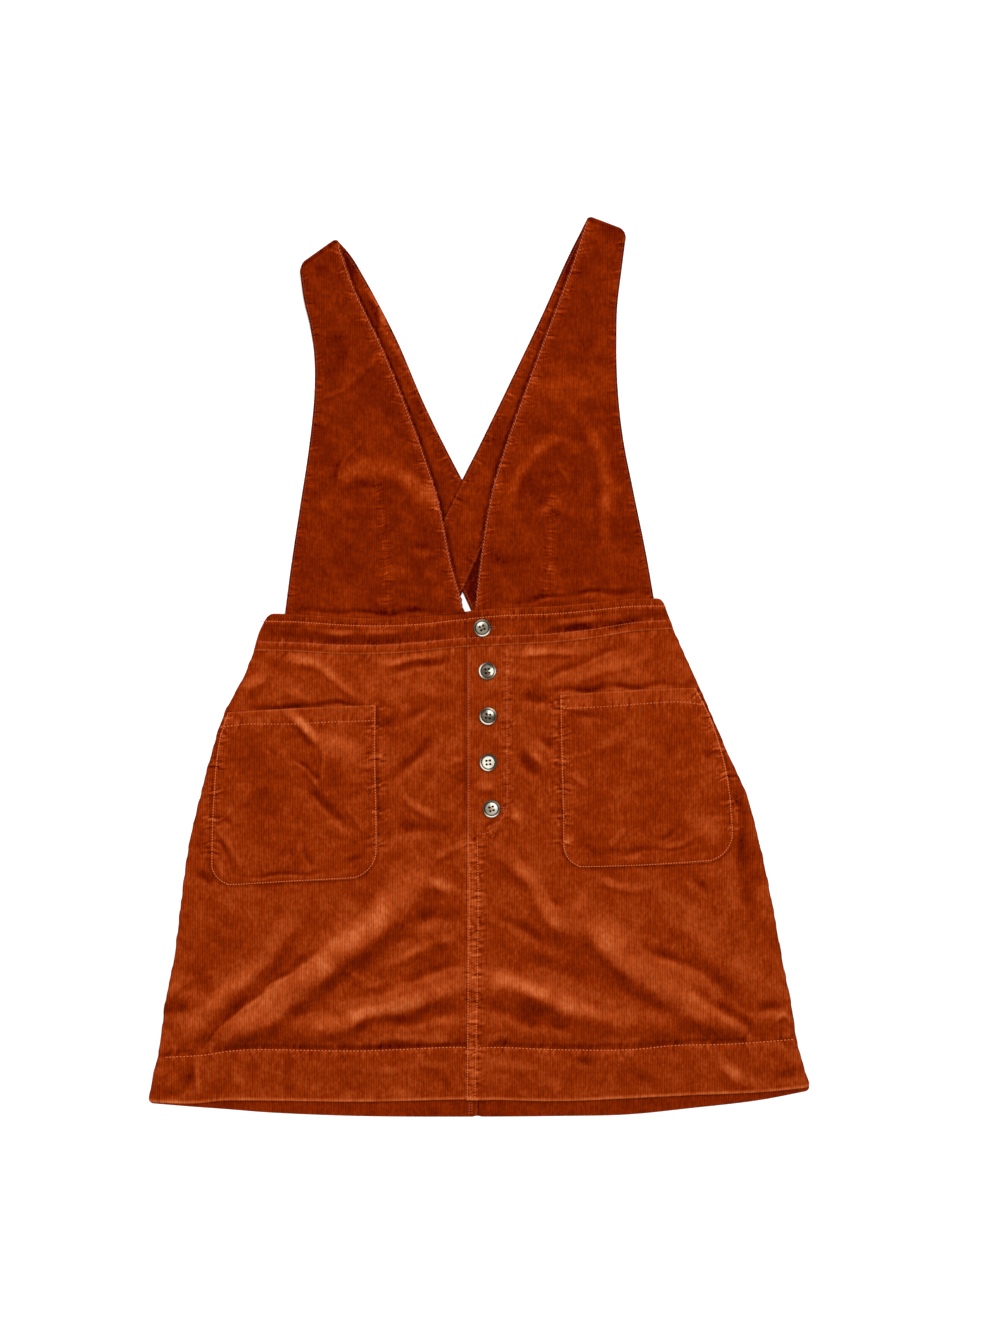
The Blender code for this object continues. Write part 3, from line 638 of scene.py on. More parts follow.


# ---- Creases, placed one by one: reach, tone, then X and Y of the points along each ----
# The tones in these tables are painted: a crease paints highlight along its crest where its tone is above 0
# and shade where it is below, and a shadow line paints shade, or highlight where its tone is above 0.
LARGE_FOLDS = placed(
    fold(27, 6.5, -60, -201, -99, -243, -134, -262, -192, -308, -238, -338),
    fold(21, 4, -135, -322, -80, -301, -10, -286), fold(16, 2.5, -278, -301, -242, -307, -220, -294),
    fold(13, -3, -257, -358, -218, -312, -149, -257), fold(15, -1.6, -92, -285, -56, -273, -20, -256),
    fold(20, 3.8, 1, -287, 52, -297, 125, -317), fold(26, 4.8, 73, -222, 162, -282, 238, -327),
    fold(13, -2.2, 185, -261, 208, -282, 250, -327),
)
SKIRT_CREASES = placed(
    # left: along the long fold
    crease(19, 0.36, -42, -186, -70, -207, -100, -237, -130, -262, -160, -286, -190, -309, -216, -326, -240,
           -337, height=0.5),
    crease(15, 0.24, -160, -218, -182, -245, -205, -272, -228, -297, -252, -320, -282, -344, height=1.2),
    crease(5, -0.2, -130, -243, -152, -258, -183, -284, -215, -306, -237, -324, -250, -341, height=-0.2),
    shadow(1.8, -0.14, -183, -285, -215, -307.5, -237, -325.5, -250, -342.5),
    (15, -0.1, -118, -226, -150, -250, -182, -275, -215, -300, -240, -322),
    crease(3, 0.1, -151, -262, -183, -287.5, -215, -309.5, -238, -328, -250, -343, height=0.1),
    crease(2.6, 0.16, -251, -345, -254, -362, -254, -385, height=0.2),
    crease(6, -0.18, -258, -347, -260, -366, -259, -386, height=0),
    (24, -0.12, -225, -235, -245, -270, -262, -292), crease(12, -0.3, -287, -306, -262, -306, height=-0.7),
    (6, 0.28, -284, -296, -268, -284, -256, -276),
    # left: out from the centre front
    (10.5, 0.42, -150, -326, -120, -318, -90, -309, -62, -303, -38, -293, -13, -287),
    (6.5, 0.36, -112, -338, -80, -336, -50, -334, -22, -335),
    (9, -0.26, -105, -324, -65, -318, -35, -313, -14, -311),
    (8, -0.24, -128, -299, -97, -293, -68, -284, -42, -273, -14, -262),
    (6, 0.24, -84, -268, -60, -259, -32, -246, -14, -240), (5, 0.22, -119, -272, -101, -286),
    (8, -0.16, -88, -252, -62, -242), (10, -0.26, -60, -228, -38, -222, -14, -226),
    (10, 0.42, -52, -192, -38, -196, -24, -202), (5, 0.26, -35, -170, -14, -158),
    (12, 0.22, -48, -168, -60, -192), (9, -0.22, -92, -146, -62, -146, -40, -144, -20, -153),
    (12, -0.16, -88, -172, -70, -168),
    # left: along and below the hem row
    shadow(3.2, -0.22, -14, -339.3, -60, -341, -110, -342.3, -170, -341.5, -206, -341, -240, -344),
    (3.2, -0.24, -290, -350, -256, -348), (10, -0.24, -296, -386, -272, -382, -262, -362),
    (7, 0.2, -290, -370, -281, -361), (12, 0.12, -218, -352, -216, -382),
    (7, -0.14, -172, -350, -172, -386), (7, 0.12, -130, -362, -60, -361, -20, -360),
    (8, -0.12, -30, -372, -24, -385), (8, 0.08, -110, -386, -60, -386),
    # left: between waistband and pocket
    (7, 0.28, -188, 10, -165, 8, -145, 2, -126, -13, -106, -28), (10, 0.32, -216, -24, -203, -12, -190, -5),
    (4.5, 0.26, -98, 6, -72, 6, -50, 10, -32, 17), (6, -0.26, -86, -2, -52, 2, -18, 11),
    (4.5, -0.42, -216, -37, -172, -36, -146, -33, -128, -31, -112, -34, -98, -42),
    (6, 0.14, -178, -20, -150, -28), (8, -0.22, -92, -47, -72, -47, -50, -34),
    (9, 0.12, -85, -28, -55, -20, -30, -22), (8, -0.22, -94, -108, -72, -93, -52, -76, -30, -60),
    (6.5, 0.32, -72, -110, -55, -125, -34, -140), (6, 0.16, -88, -133, -70, -140),
    (6, 0.14, -32, -86, -16, -82), (5, -0.12, -22, -105, -14, -100), (8, 0.08, -50, -50, -25, -42),
    (7, -0.28, -258, -186, -236, -194), (9, -0.18, -256, -130, -250, -160),
    # right: along the long folds
    (12, 0.28, 4, -160, 24, -172, 46, -190, 58, -214, 74, -236),
    crease(17, 0.3, 92, -212, 106, -236, 122, -256, 142, -275, 168, -292, 196, -307, 220, -320, 240, -329,
           height=0.5),
    (14, 0.2, 62, -225, 95, -242),
    crease(13, 0.36, 0, -285, 22, -284, 46, -293, 74, -303, 100, -312, 128, -318, height=0.5),
    (9, -0.24, 4, -304, 30, -311, 60, -321, 92, -326), (9, -0.22, 6, -214, 26, -226, 52, -244, 82, -258),
    (14, -0.16, 30, -262, 62, -264, 100, -278, 130, -290), (8, -0.3, 150, -250, 178, -264, 204, -272),
    (9, -0.34, 192, -288, 214, -300, 236, -318, 257, -334), (10, -0.26, 208, -280, 226, -294),
    crease(10, -0.36, 244, -307, 258, -306, 273, -304, height=-0.7),
    (22, 0.13, 160, -205, 195, -232, 232, -268, 268, -298), (17, -0.2, 236, -150, 243, -195, 252, -240),
    (6, 0.22, 108, -191, 130, -198, 152, -198), (8, -0.14, 186, -186, 212, -206),
    (6, -0.2, 66, -208, 78, -213), (4, 0.3, 264, -322, 276, -314, 284, -322),
    (6, -0.3, 270, -335, 284, -345),
    # right: along and below the hem row
    (10, 0.24, 212, -350, 232, -368, 252, -378), (8, -0.32, 270, -366, 288, -367),
    shadow(3.2, -0.2, 240, -335, 178, -337, 135, -341, 73, -341, 23, -339.5), (7, 0.3, 4, -337, 28, -331),
    (5, 0.12, 75, -335, 110, -336, 160, -332), (7, -0.22, 84, -352, 102, -353),
    (7, 0.16, 4, -352, 30, -360, 56, -362), (12, -0.14, 140, -366, 160, -376),
    # right: between waistband and pocket
    (5, 0.3, 28, 12, 52, 13, 80, 14, 102, 18), (6, 0.22, 18, -3, 36, -8, 52, -8),
    (5, -0.24, 56, -10, 80, 0, 106, 12, 132, 22), (8, 0.16, 58, -16, 90, -8, 122, 0, 152, 12),
    (4.5, -0.38, 48, -18, 100, -19, 150, -16, 196, -14), (10, -0.3, 34, -28, 66, -27),
    (8, -0.26, 52, -60, 68, -70), (5, 0.2, 38, -70, 60, -88), (8, -0.34, 30, -76, 48, -92, 62, -104),
    (8, 0.26, -4, -107, 14, -107), (8, 0.3, 28, -130, 38, -141), (4, -0.24, 6, -143, 18, -136),
    (9, -0.3, 230, -108, 238, -138, 238, -172), (6, 0.1, 30, -48, 50, -44),
    # centre front
    shadow(2.6, -0.14, -13.2, 18, -13.2, -60, -13.5, -148), shadow(7, 0.11, -7, -152, -7, -290, -8, -400),
)
POCKET_LEFT_CREASES = placed(
    crease(6, 0.5, -172, -41, -158, -54, -142, -69, height=1.6),
    (3, 0.22, -141, -70, -141, -86, -141, -103),
    crease(3.4, -0.42, -168, -84, -155, -92, -146, -99, -141, -105, height=-0.8),
    (3, -0.2, -194, -69, -182, -80), (3, -0.3, -216, -187, -180, -186.5, -142, -184),
    (26, 0.12, -138, -62, -110, -84), (6, -0.38, -150, -110, -138, -125, -121, -141),
    (20, 0.14, -150, -64, -122, -76, -112, -96), (5, 0.2, -147, -100, -144, -106),
    (5, 0.26, -122, -124, -101, -147), (7, 0.16, -142, -140, -114, -153),
    (24, -0.13, -218, -62, -192, -100, -202, -142), (6, -0.2, -156, -160, -149, -182),
    (5, 0.24, -236, -144, -222, -165, -211, -181), (4.5, -0.26, -234, -156, -221, -183),
    (5, 0.24, -238, -176, -231, -188), (7, 0.22, -229, -130, -224, -131),
    (4, -0.22, -234, -135, -221, -143), (5, 0.14, -232, -62, -224, -72), (4, -0.24, -106, -92, -96, -91),
    (4, 0.22, -108, -86, -94, -87), (4, -0.24, -120, -174, -100, -171),
)
POCKET_RIGHT_CREASES = placed(
    (4, 0.26, 74, -39, 96, -37), (6, -0.16, 75, -46, 108, -42, 126, -50),
    (10, 0.13, 94, -66, 114, -68, 132, -55), (4, 0.16, 78, -80, 100, -77), (4, 0.22, 80, -95, 98, -108),
    (5, -0.22, 110, -166, 160, -163), (4, -0.2, 158, -153, 180, -144), (3, -0.14, 144, -164, 204, -160),
    (5, 0.2, 163, -158, 196, -157), (15, 0.13, 188, -138, 216, -152), (5, 0.14, 136, -144, 118, -161),
    (6, 0.3, 77, -152, 82, -158), (3, -0.24, 208, -133, 224, -134), (8, -0.16, 205, -75, 208, -80),
    (6, -0.2, 92, -160, 104, -168),
)
BIB_LEFT_CREASES = placed(
    shadow(13, 0.2, -122, 173, -110, 179, -95, 178, -78, 177, -64, 169, -52, 159, -41, 151),
    crease(12, 0.13, -122, 174, -110, 180, -95, 179, -78, 178, -64, 170, -52, 160, -41, 152, height=0.4),
    shadow(14, 0.08, -66, 168, -52, 152, -42, 138), (9, 0.14, -110, 186, -80, 188),
    (7, -0.08, -119, 165, -100, 166, -84, 163), (4, -0.26, -130, 168, -129, 180, -122, 190),
    (2.5, 0.16, -123, 184, -114, 195, -104, 206), (12, 0.16, -148, 136, -126, 146, -108, 150),
    (6, 0.12, -126, 250, -102, 272, -86, 286), (14, -0.12, -136, 250, -122, 284, -132, 302),
    (3, 0.1, -146, 245, -118, 252), (10, 0.12, -86, 82, -60, 86), (8, 0.14, -97, 64, -74, 60),
    (6, -0.12, -62, 109, -38, 108), (4, 0.14, -55, 100, -35, 101), (4, -0.26, -172, 53, -100, 50, -18, 52),
    (9, -0.14, -151, 360, -140, 352),
)
BIB_RIGHT_CREASES = placed(
    shadow(24, 0.14, 58, 255, 84, 251, 110, 256), (12, -0.12, 92, 282, 108, 305),
    crease(9, 0.2, 28, 138, 31, 160, 44, 184, 56, 198, 74, 203, 92, 200, height=0.5),
    crease(9, 0.2, 80, 236, 95, 222, 104, 202, 111, 186, 114, 158, 113, 122, 112, 92, height=0.5),
    (9, 0.2, 50, 136, 65, 149, 82, 138), (3, 0.12, 66, 190, 80, 168), (10, -0.16, 6, 100, 42, 95),
    (4, -0.3, 24, 58, 90, 66, 152, 68), (10, -0.12, 104, 396, 126, 384), (8, -0.12, 40, 215, 100, 207),
    (8, 0.12, 60, 92, 66, 86), (9, 0.18, 120, 162, 126, 158), (7, 0.12, 135, 96, 148, 92),
)
# On the back straps: painted shadows beside the bibs' edges, at the shoulder and in the crossing, and painted
# highlights, all at the cloth's own height.
STRAP_LEFT_CREASES = placed(
    crease(9, -0.5, -127, 385, -121, 372, -112, 352, height=0),
    crease(6, 0.45, -101, 342, -84, 309, height=0.2),
    crease(6, 0.14, -112, 362, -62, 264, -38, 214, -20, 178, height=0),
    crease(9, -0.6, -2, 98, -6, 75, -9, 55, height=0),
)
STRAP_RIGHT_CREASES = placed(
    crease(7, -0.5, 92, 396, 84, 374, 74, 348, height=0), crease(7, -0.25, 19, 192, 8, 152, height=0),
    crease(7, -0.5, 1, 102, -5, 82, -11, 64, height=0),
    crease(5, 0.15, 62, 352, 30, 275, -5, 196, height=0), crease(14, 0.1, -18, 150, -5, 130, height=0),
)
BAND_LEFT_CREASES = placed(
    crease(7, -0.3, -196, 30, -150, 26, -110, 22, -72, 24, -40, 28, -15, 33, height=-0.5),
    (4.5, 0.22, -190, 41, -165, 38, -130, 32, -90, 32, -60, 35, -28, 40),
)
BAND_RIGHT_CREASES = placed(
    crease(7, -0.34, 50, 28, 80, 33, 120, 38, 168, 48, height=-0.5),
    (5, 0.16, 44, 31, 62, 38, 92, 42, 120, 46), (5, 0.1, 0, 48, 40, 46),
)


# ---- How the layers lie on each other ----
@dataclass
class Layers:
    """The underside of each layer, as heights at the X and Y of points."""

    body: Body
    cloth: float = 1.4
    band: float = 2.4
    double: float = 2.0
    gap: float = 0.3
    pocket_gap: float = 0.5
    hem_step: float = 0.7
    hem_step_run: float = 2.0
    side_roll: float = 14.0
    side_calm: float = 6.0
    billow: float = 1.6
    billow_run: float = 45.0
    floor_rest: float = 0.2
    strap_margin: float = 11.0
    bib_margin: float = 18.0
    strap_drape: float = 16.0
    waist_drape: float = 38.0
    overlap_margin: float = 2.0
    overlap_run: float = 12.0
    fold_lift: float = 2.0
    fold_lift_run: float = 45.0
    hem_bulge: float = 2.6
    hem_bulge_run: float = 17.0
    hem_bulge_offset: float = 20.0
    bust: tuple[Point, ...] = ((-92, 190), (66, 190))
    bust_rise: float = 2.4
    bust_reach: float = 42.0

    @property
    def front_rest(self) -> float:
        """Underside of the front, over the back."""
        return self.double + self.gap

    @property
    def side_rest(self) -> float:
        """Underside of the front at the side seams."""
        return self.cloth + self.gap

    def overlap(self, x: Array, y: Array) -> Array:
        """1 where the right panel lies on the left one, 0 clear of it."""
        return fade((x - self.body.underlap(y) - self.overlap_margin) / self.overlap_run)

    def skirt_rest(self, x: Array, y: Array) -> Array:
        """Underside of the front skirt."""
        body = self.body
        side = np.minimum(x - body.side_left(y), body.side_right(y) - x)
        hem = y - body.hem_front(x)
        above_hem = hem - body.hem_depth
        roll = lerp(self.side_rest, self.front_rest, ease(side / self.side_roll))
        inner = ease(side / self.billow_run)
        waist = ease((body.waist_bottom(x) - y) / self.billow_run)
        air = self.billow * inner * waist * ease(hem / self.billow_run)
        bulge = self.hem_bulge * bell((above_hem - self.hem_bulge_offset) / self.hem_bulge_run) * inner
        calm = ease(side / (2 * self.side_roll)) * ease(above_hem / self.hem_bulge_run)
        creases = ease(side / self.side_calm) * survey(SKIRT_CREASES, x, y)[0]
        folds = calm * survey(LARGE_FOLDS, x, y)[0] + creases
        return np.maximum(roll + air + bulge + folds, self.side_rest)

    def skirt_over(self, x: Array, y: Array) -> Array:
        """Underside of the right front panel, which steps over the left one."""
        return self.skirt_rest(x, y) + (self.cloth + self.hem_step + self.gap) * self.overlap(x, y)

    def hem_wall(self, x: Array, y: Array) -> Array:
        """Thickness of the front skirt: its hem is turned up and double."""
        above = y - self.body.hem_front(x) - self.body.hem_depth
        return self.cloth + self.hem_step * ease(-above / self.hem_step_run)

    def strap_over(self, x: Array, y: Array) -> Array:
        """Underside of the right strap, which crosses over the left one."""
        return self.front_rest * STRAP_LEFT.cover(x, y, self.strap_margin, self.strap_drape)

    def near_waist(self, x: Array, y: Array) -> Array:
        """1 at the waistband's upper seam, falling to 0 up the bib."""
        return fade((y - self.body.waist_top(x)) / self.waist_drape)

    def bib_rest(self, x: Array, y: Array) -> Array:
        """Underside of a bib, which lies on the straps and the back waistband."""
        left, right = [strap.cover(x, y, self.bib_margin, self.strap_drape)
                       for strap in (STRAP_LEFT, STRAP_RIGHT)]
        held = 1.0 - (1.0 - left) * (1.0 - right) * (1.0 - self.near_waist(x, y))
        bust = sum(self.bust_rise * bell(np.hypot(x - bust_x, y - bust_y) / self.bust_reach)
                   for bust_x, bust_y in self.bust)
        return lerp(self.floor_rest, self.front_rest, held) + self.front_rest * left * right + bust

    def band_rest(self, x: Array, y: Array) -> Array:
        """Underside of the left waistband."""
        return np.full_like(x, self.front_rest)

    def band_over(self, x: Array, y: Array) -> Array:
        """Underside of the right waistband, which steps over the left one."""
        return self.front_rest + (self.band + self.gap) * self.overlap(x, y)

    def bib_over(self, x: Array, y: Array) -> Array:
        """Underside of the right bib, whose lower corner meets the lapped waistband."""
        rest = self.bib_rest(x, y)
        lapped = lerp(self.front_rest, self.band_over(x, y), self.near_waist(x, y))
        return np.where(lapped > self.front_rest, np.maximum(rest, lapped), rest)


# ---- Finishes ----
@dataclass
class NodeTree:
    """Short ways to add and link shader nodes."""

    tree: ShaderNodeTree

    def add(self, kind: str, settings: dict[str, Any] | None = None, **inputs: Any) -> Node:
        """Add a node.

        Args:
            kind: Its type, without the ShaderNode prefix.
            settings: Its own properties.
            **inputs: What its sockets get.

        Returns:
            The node.
        """
        node = self.tree.nodes.new(kind if kind.startswith("Node") else "ShaderNode" + kind)
        for name, value in (settings or {}).items():
            setattr(node, name, value)
        return self.fill(node, **inputs)

    def fill(self, node: Node, **inputs: Any) -> Node:
        """Link or set a node's sockets.

        Args:
            node: The node.
            **inputs: Its sockets by name, with _ for a space, or by i and number: a value or a link.

        Returns:
            The node.
        """
        for name, value in inputs.items():
            key = int(name[1:]) if name[0] == "i" and name[1:].isdigit() else name.replace("_", " ")
            socket = node.inputs[key]
            if isinstance(value, NodeSocket):
                self.tree.links.new(value, socket)
            else:
                solid = isinstance(value, tuple) and len(value) == 3 and socket.type == "RGBA"
                socket.default_value = (*value, 1.0) if solid else value
        return node

    def math(self, operation: str, a: Any, b: Any = 0.0, c: Any = 0.0) -> NodeSocket:
        """The output of a Math node."""
        return self.add("Math", {"operation": operation}, i0=a, i1=b, i2=c).outputs[0]

    def scaled(self, value: Any, by: Any, start: Any) -> NodeSocket:
        """A value times another, added to a start."""
        return self.math("MULTIPLY_ADD", value, by, start)

    def noise(self, vector: NodeSocket, x: float, y: float, z: float = 1.0,
              detail: float = 3.0) -> NodeSocket:
        """A noise about 0, with so many waves a metre along each axis."""
        spread = self.add("Mapping", Vector=vector, Scale=(x, y, z)).outputs[0]
        return self.math("SUBTRACT", self.add("TexNoise", Vector=spread, Scale=1.0, Detail=detail).outputs[0],
                         0.5)

    def ramp(self, value: NodeSocket, stops: Sequence[Row]) -> NodeSocket:
        """The colour of a Color Ramp.

        Args:
            value: What it reads.
            stops: The position and the colour of each of its stops.

        Returns:
            The output.
        """
        node = self.add("ValToRGB", Fac=value)
        elements = node.color_ramp.elements
        for element, (position, *colour) in zip(elements, (stops[0], stops[-1])):
            element.position, element.color = position, (*colour, 1.0)
        for position, *colour in stops[1:-1]:
            elements.new(position).color = (*colour, 1.0)
        return node.outputs["Color"]


def new_material(name: str) -> tuple[Material, NodeTree, Node]:
    """Start a material.

    Args:
        name: Its name.

    Returns:
        The material, its nodes and its shader.
    """
    material = bpy.data.materials.new(name)
    material.use_nodes = True
    return material, NodeTree(material.node_tree), material.node_tree.nodes["Principled BSDF"]


@dataclass(frozen=True)
class Pile:
    """Corduroy's ribs and the fuzz on them, with painted shade in the grooves between the ribs, as a node
    group that every corduroy shares.
    """

    pitch: float = 0.00215
    wander: float = 0.0013
    rib_power: float = 0.6
    groove_shade_wear: float = 2.2
    fuzz_height: float = 0.9
    pile_height: float = 0.25
    roughness: float = 0.9
    shares: Row = (0.35, 0.41, 0.17, 0.30)  # of the streaks, the fuzz, the clouds and the pile
    colours: tuple[Row, ...] = (
        (0.0, 0.064, 0.0020, 0.0006), (0.05, 0.112, 0.0050, 0.00006), (0.26, 0.174, 0.0122, 0.0001),
        (0.45, 0.273, 0.0236, 0.0006), (0.72, 0.448, 0.0650, 0.0098), (1.0, 0.660, 0.1520, 0.0420))

    def group(self) -> ShaderNodeTree:
        """Build the group: the tone input, which holds the cloth's own tone with its painted highlights and
        painted shade, sets the colour; Cut carries the ribs along its Y.

        Returns:
            The group, with its colour, the height of its pile and its roughness.
        """
        tree = bpy.data.node_groups.new("Corduroy pile", "ShaderNodeTree")
        for side, sockets in (("INPUT", {"Cut": "Vector", "Nap": "Float", "Groove": "Float"}),
                              ("OUTPUT", {"Color": "Color", "Height": "Float", "Roughness": "Float"})):
            for label, kind in sockets.items():
                tree.interface.new_socket(name=label, in_out=side, socket_type="NodeSocket" + kind)
        nodes = NodeTree(tree)
        cut, nap, depth = nodes.add("NodeGroupInput").outputs[:3]
        across = nodes.add("SeparateXYZ", Vector=cut).outputs["X"]
        across = nodes.scaled(nodes.noise(cut, 28.0, 28.0), self.wander, across)
        wave = nodes.math("SINE", nodes.math("MULTIPLY", across, tau / self.pitch))
        rib = nodes.math("POWER", nodes.scaled(wave, 0.5, 0.5), self.rib_power)
        # The grooves between the ribs are darkened as painted shade in the recesses; a noise makes it
        # unevenly strong, as wear would.
        worn = nodes.scaled(nodes.noise(cut, 330.0, 70.0), self.groove_shade_wear, 1.0)
        groove = nodes.math("MULTIPLY", depth, nodes.math("MAXIMUM", worn, 0.0))
        shade = nodes.math("SUBTRACT", 1.0, nodes.math("MULTIPLY", groove, nodes.math("SUBTRACT", 1.0, rib)))
        pile = nodes.noise(cut, 3200.0, 900.0)
        fuzz = nodes.noise(cut, 340.0, 270.0, detail=4.0)
        streaks, clouds = nodes.noise(cut, 420.0, 110.0), nodes.noise(cut, 70.0, 32.0, detail=4.0)
        for part, share in zip((streaks, fuzz, clouds, pile), self.shares):
            nap = nodes.scaled(part, share, nap)
        grey = nodes.add("CombineColor", Red=shade, Green=shade, Blue=shade).outputs[0]
        colour = nodes.add("Mix", {"data_type": "RGBA", "blend_type": "MULTIPLY"}, i0=1.0,
                           i6=nodes.ramp(nap, self.colours), i7=grey).outputs[2]
        height = nodes.scaled(fuzz, self.fuzz_height, rib)
        nodes.add("NodeGroupOutput", Color=colour,
                  Height=nodes.scaled(pile, self.pile_height, height),
                  Roughness=nodes.scaled(pile, 0.2, self.roughness))
        return tree


@dataclass(frozen=True)
class Corduroy:
    """Fine-wale corduroy with a soft, napped pile."""

    name: str = "corduroy"
    shade: float = 0.0
    # How dark the painted shade in the grooves between the ribs is.
    groove: float = 0.38
    bump: float = 0.7
    bump_distance: float = 0.0003
    gloss: float = 0.01
    sheen: float = 0.08
    sheen_roughness: float = 0.45
    sheen_tint: Colour = (1.0, 0.30, 0.08)

    def material(self, pile: ShaderNodeTree) -> Material:
        """Build the material: a point attribute that holds the cloth's own tone with its painted highlights
        and painted shade sets the tone, the cut UV map carries the wales.

        Args:
            pile: The node group of the ribs.

        Returns:
            The material.
        """
        material, nodes, shader = new_material(self.name)
        cut = nodes.add("UVMap", {"uv_map": "cut"}).outputs[0]
        # The attribute read here is the cloth's own tone together with its painted highlights and painted
        # shade.
        nap = nodes.add("Attribute", {"attribute_name": "nap"}).outputs["Fac"]
        nap = nodes.math("ADD", nap, self.shade)
        face = nodes.add("Group", {"node_tree": pile}, Cut=cut, Nap=nap, Groove=self.groove).outputs
        bump = nodes.add("Bump", Strength=self.bump, Distance=self.bump_distance, Height=face["Height"])
        nodes.fill(shader, Base_Color=face["Color"], Roughness=face["Roughness"],
                   Normal=bump.outputs["Normal"], Specular_IOR_Level=self.gloss, Sheen_Weight=self.sheen,
                   Sheen_Roughness=self.sheen_roughness, Sheen_Tint=self.sheen_tint)
        return material


@dataclass(frozen=True)
class Thread:
    """Sewing thread: twisted strands, a little uneven."""

    name: str = "sewing thread"
    colour: Colour = (0.86, 0.225, 0.076)
    shadow: Colour = (0.60, 0.120, 0.034)
    unevenness: float = 300.0
    strands: float = 2600.0
    bump: float = 0.5
    bump_distance: float = 0.0001
    roughness: float = 0.7

    def material(self) -> Material:
        """Build the material."""
        material, nodes, shader = new_material(self.name)
        where = nodes.add("TexCoord").outputs["Object"]
        uneven = nodes.math("ADD", nodes.noise(where, *[self.unevenness] * 3), 0.55)
        colour = nodes.add("Mix", {"data_type": "RGBA"}, i0=uneven, i6=self.shadow, i7=self.colour)
        strands = nodes.noise(where, *[self.strands] * 3)
        bump = nodes.add("Bump", Strength=self.bump, Distance=self.bump_distance, Height=strands)
        nodes.fill(shader, Base_Color=colour.outputs[2], Normal=bump.outputs["Normal"],
                   Roughness=nodes.scaled(strands, 0.2, self.roughness), Specular_IOR_Level=0.0)
        return material


@dataclass(frozen=True)
class Horn:
    """A polished horn look: a dark groove, a greyish middle and a pale rim, with the painted highlights and
    painted shade that each button's rim attribute brings.
    """

    name: str = "horn"
    streaks: Row = (75.0, 110.0, 75.0)
    streak_share: float = 0.7
    roughness: float = 0.24
    gloss: float = 0.2
    colours: tuple[Row, ...] = (
        (0.05, 0.010, 0.007, 0.005), (0.35, 0.080, 0.060, 0.040), (0.65, 0.31, 0.26, 0.175),
        (0.9, 0.92, 0.86, 0.73))

    def material(self) -> Material:
        """Build the material: the rim attribute, which also holds painted highlights and painted shade, sets
        the tone, streaks move it.
        """
        material, nodes, shader = new_material(self.name)
        where = nodes.add("TexCoord").outputs["Object"]
        ring = nodes.add("Attribute", {"attribute_name": "rim"}).outputs["Fac"]
        streaks = nodes.noise(where, *self.streaks, detail=4.0)
        tone = nodes.scaled(streaks, self.streak_share, ring)
        nodes.fill(shader, Base_Color=nodes.ramp(tone, self.colours), Specular_IOR_Level=self.gloss,
                   Roughness=nodes.scaled(streaks, 0.15, self.roughness))
        return material


class Cloths:
    """The materials, built once."""

    def __init__(self) -> None:
        """Build them."""
        pile = Pile().group()
        self.face = Corduroy().material(pile)
        self.bib = Corduroy("corduroy bib", groove=0.24).material(pile)
        self.inside = Corduroy("corduroy inside", shade=-0.04, groove=0.28).material(pile)
        self.thread = Thread().material()
        self.rope = Thread("edge thread", (0.58, 0.142, 0.064), (0.24, 0.034, 0.014)).material()
        self.dull_thread = Thread("worn thread", (0.62, 0.145, 0.055), (0.38, 0.064, 0.020)).material()
        self.strap_thread = Thread("strap thread", (0.42, 0.076, 0.022), (0.25, 0.034, 0.008)).material()
        # Near-black thread: the buttons' thread, and also painted shade in the buttonhole slits and the
        # buttons' holes.
        self.dark = Thread("dark thread and painted shade", (0.030, 0.012, 0.010), (0.012, 0.005, 0.004)).material()
        self.horn = Horn().material()


# ---- Making pieces ----
class Lap(Enum):
    """Whether a front piece lies under or over the other one at the centre front."""

    UNDER = "under"
    OVER = "over"


class Spread(NamedTuple):
    """Where each point of a cloth's grid lies: its inner side, its wall, its cut and its tone.

    A lay method spreads a grid.  It takes how far each point is across the cloth, as a distance m from
    the left edge or a share u from the armhole edge, and how far it is along, as n or v.
    """

    x: Array
    y: Array
    z: Array
    wall: Array
    cut_x: Array
    cut_y: Array
    tone: Array


Lay = Callable[[Array, Array], Spread]
RIM_ROLL, RIM_SHARE, RIM_LIGHT = 1.7, 0.38, 1.5
# Painted light and shade from the slope: cloth facing towards +Y, a little towards +X, is painted lighter, as
# if lit from there, and cloth facing away darker.
PAINTED_LIGHT_FROM, SLOPE_GAIN, STEEPEST = (0.2, 0.98), 0.35, 0.5


def rolled(*edges: Array) -> Array:
    """The wall's share left near edges, where the cloth rolls down."""
    inner = 1.0 - np.clip(np.minimum.reduce(edges) / RIM_ROLL, 0.0, 1.0)
    return lerp(RIM_SHARE, 1.0, np.sqrt(1.0 - inner * inner))


def rim_light(*edges: Array, inset: float = 0.0) -> Array:
    """1 at edges or a little inside them, falling to 0 beside: a mask that paints edges lighter as painted
    highlight, and darker as painted shade where it is taken away.
    """
    return bell((np.minimum.reduce(edges) - inset) / RIM_LIGHT)


def hold(piece: Object, slot: str = "", *replaced: str) -> Object:
    """Let a piece ride on the body.

    Args:
        piece: The piece.
        slot: Any text, given when it stands for solids; only whether it is given is read, to hide the solids
            it replaces.
        *replaced: The nodes it stands for.

    Returns:
        The piece.
    """
    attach(piece, BODY)
    if slot:
        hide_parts(*replaced)
    LOG.info("%s: %d faces", piece.name, len(piece.data.polygons))
    return piece


def mesh_of(name: str, shape: bmesh.types.BMesh) -> Mesh:
    """Make a mesh of a modelled shape.

    Args:
        name: The mesh's name.
        shape: The shape, which is let go.

    Returns:
        The mesh.
    """
    mesh = bpy.data.meshes.new(name)
    shape.to_mesh(mesh)
    shape.free()
    return mesh


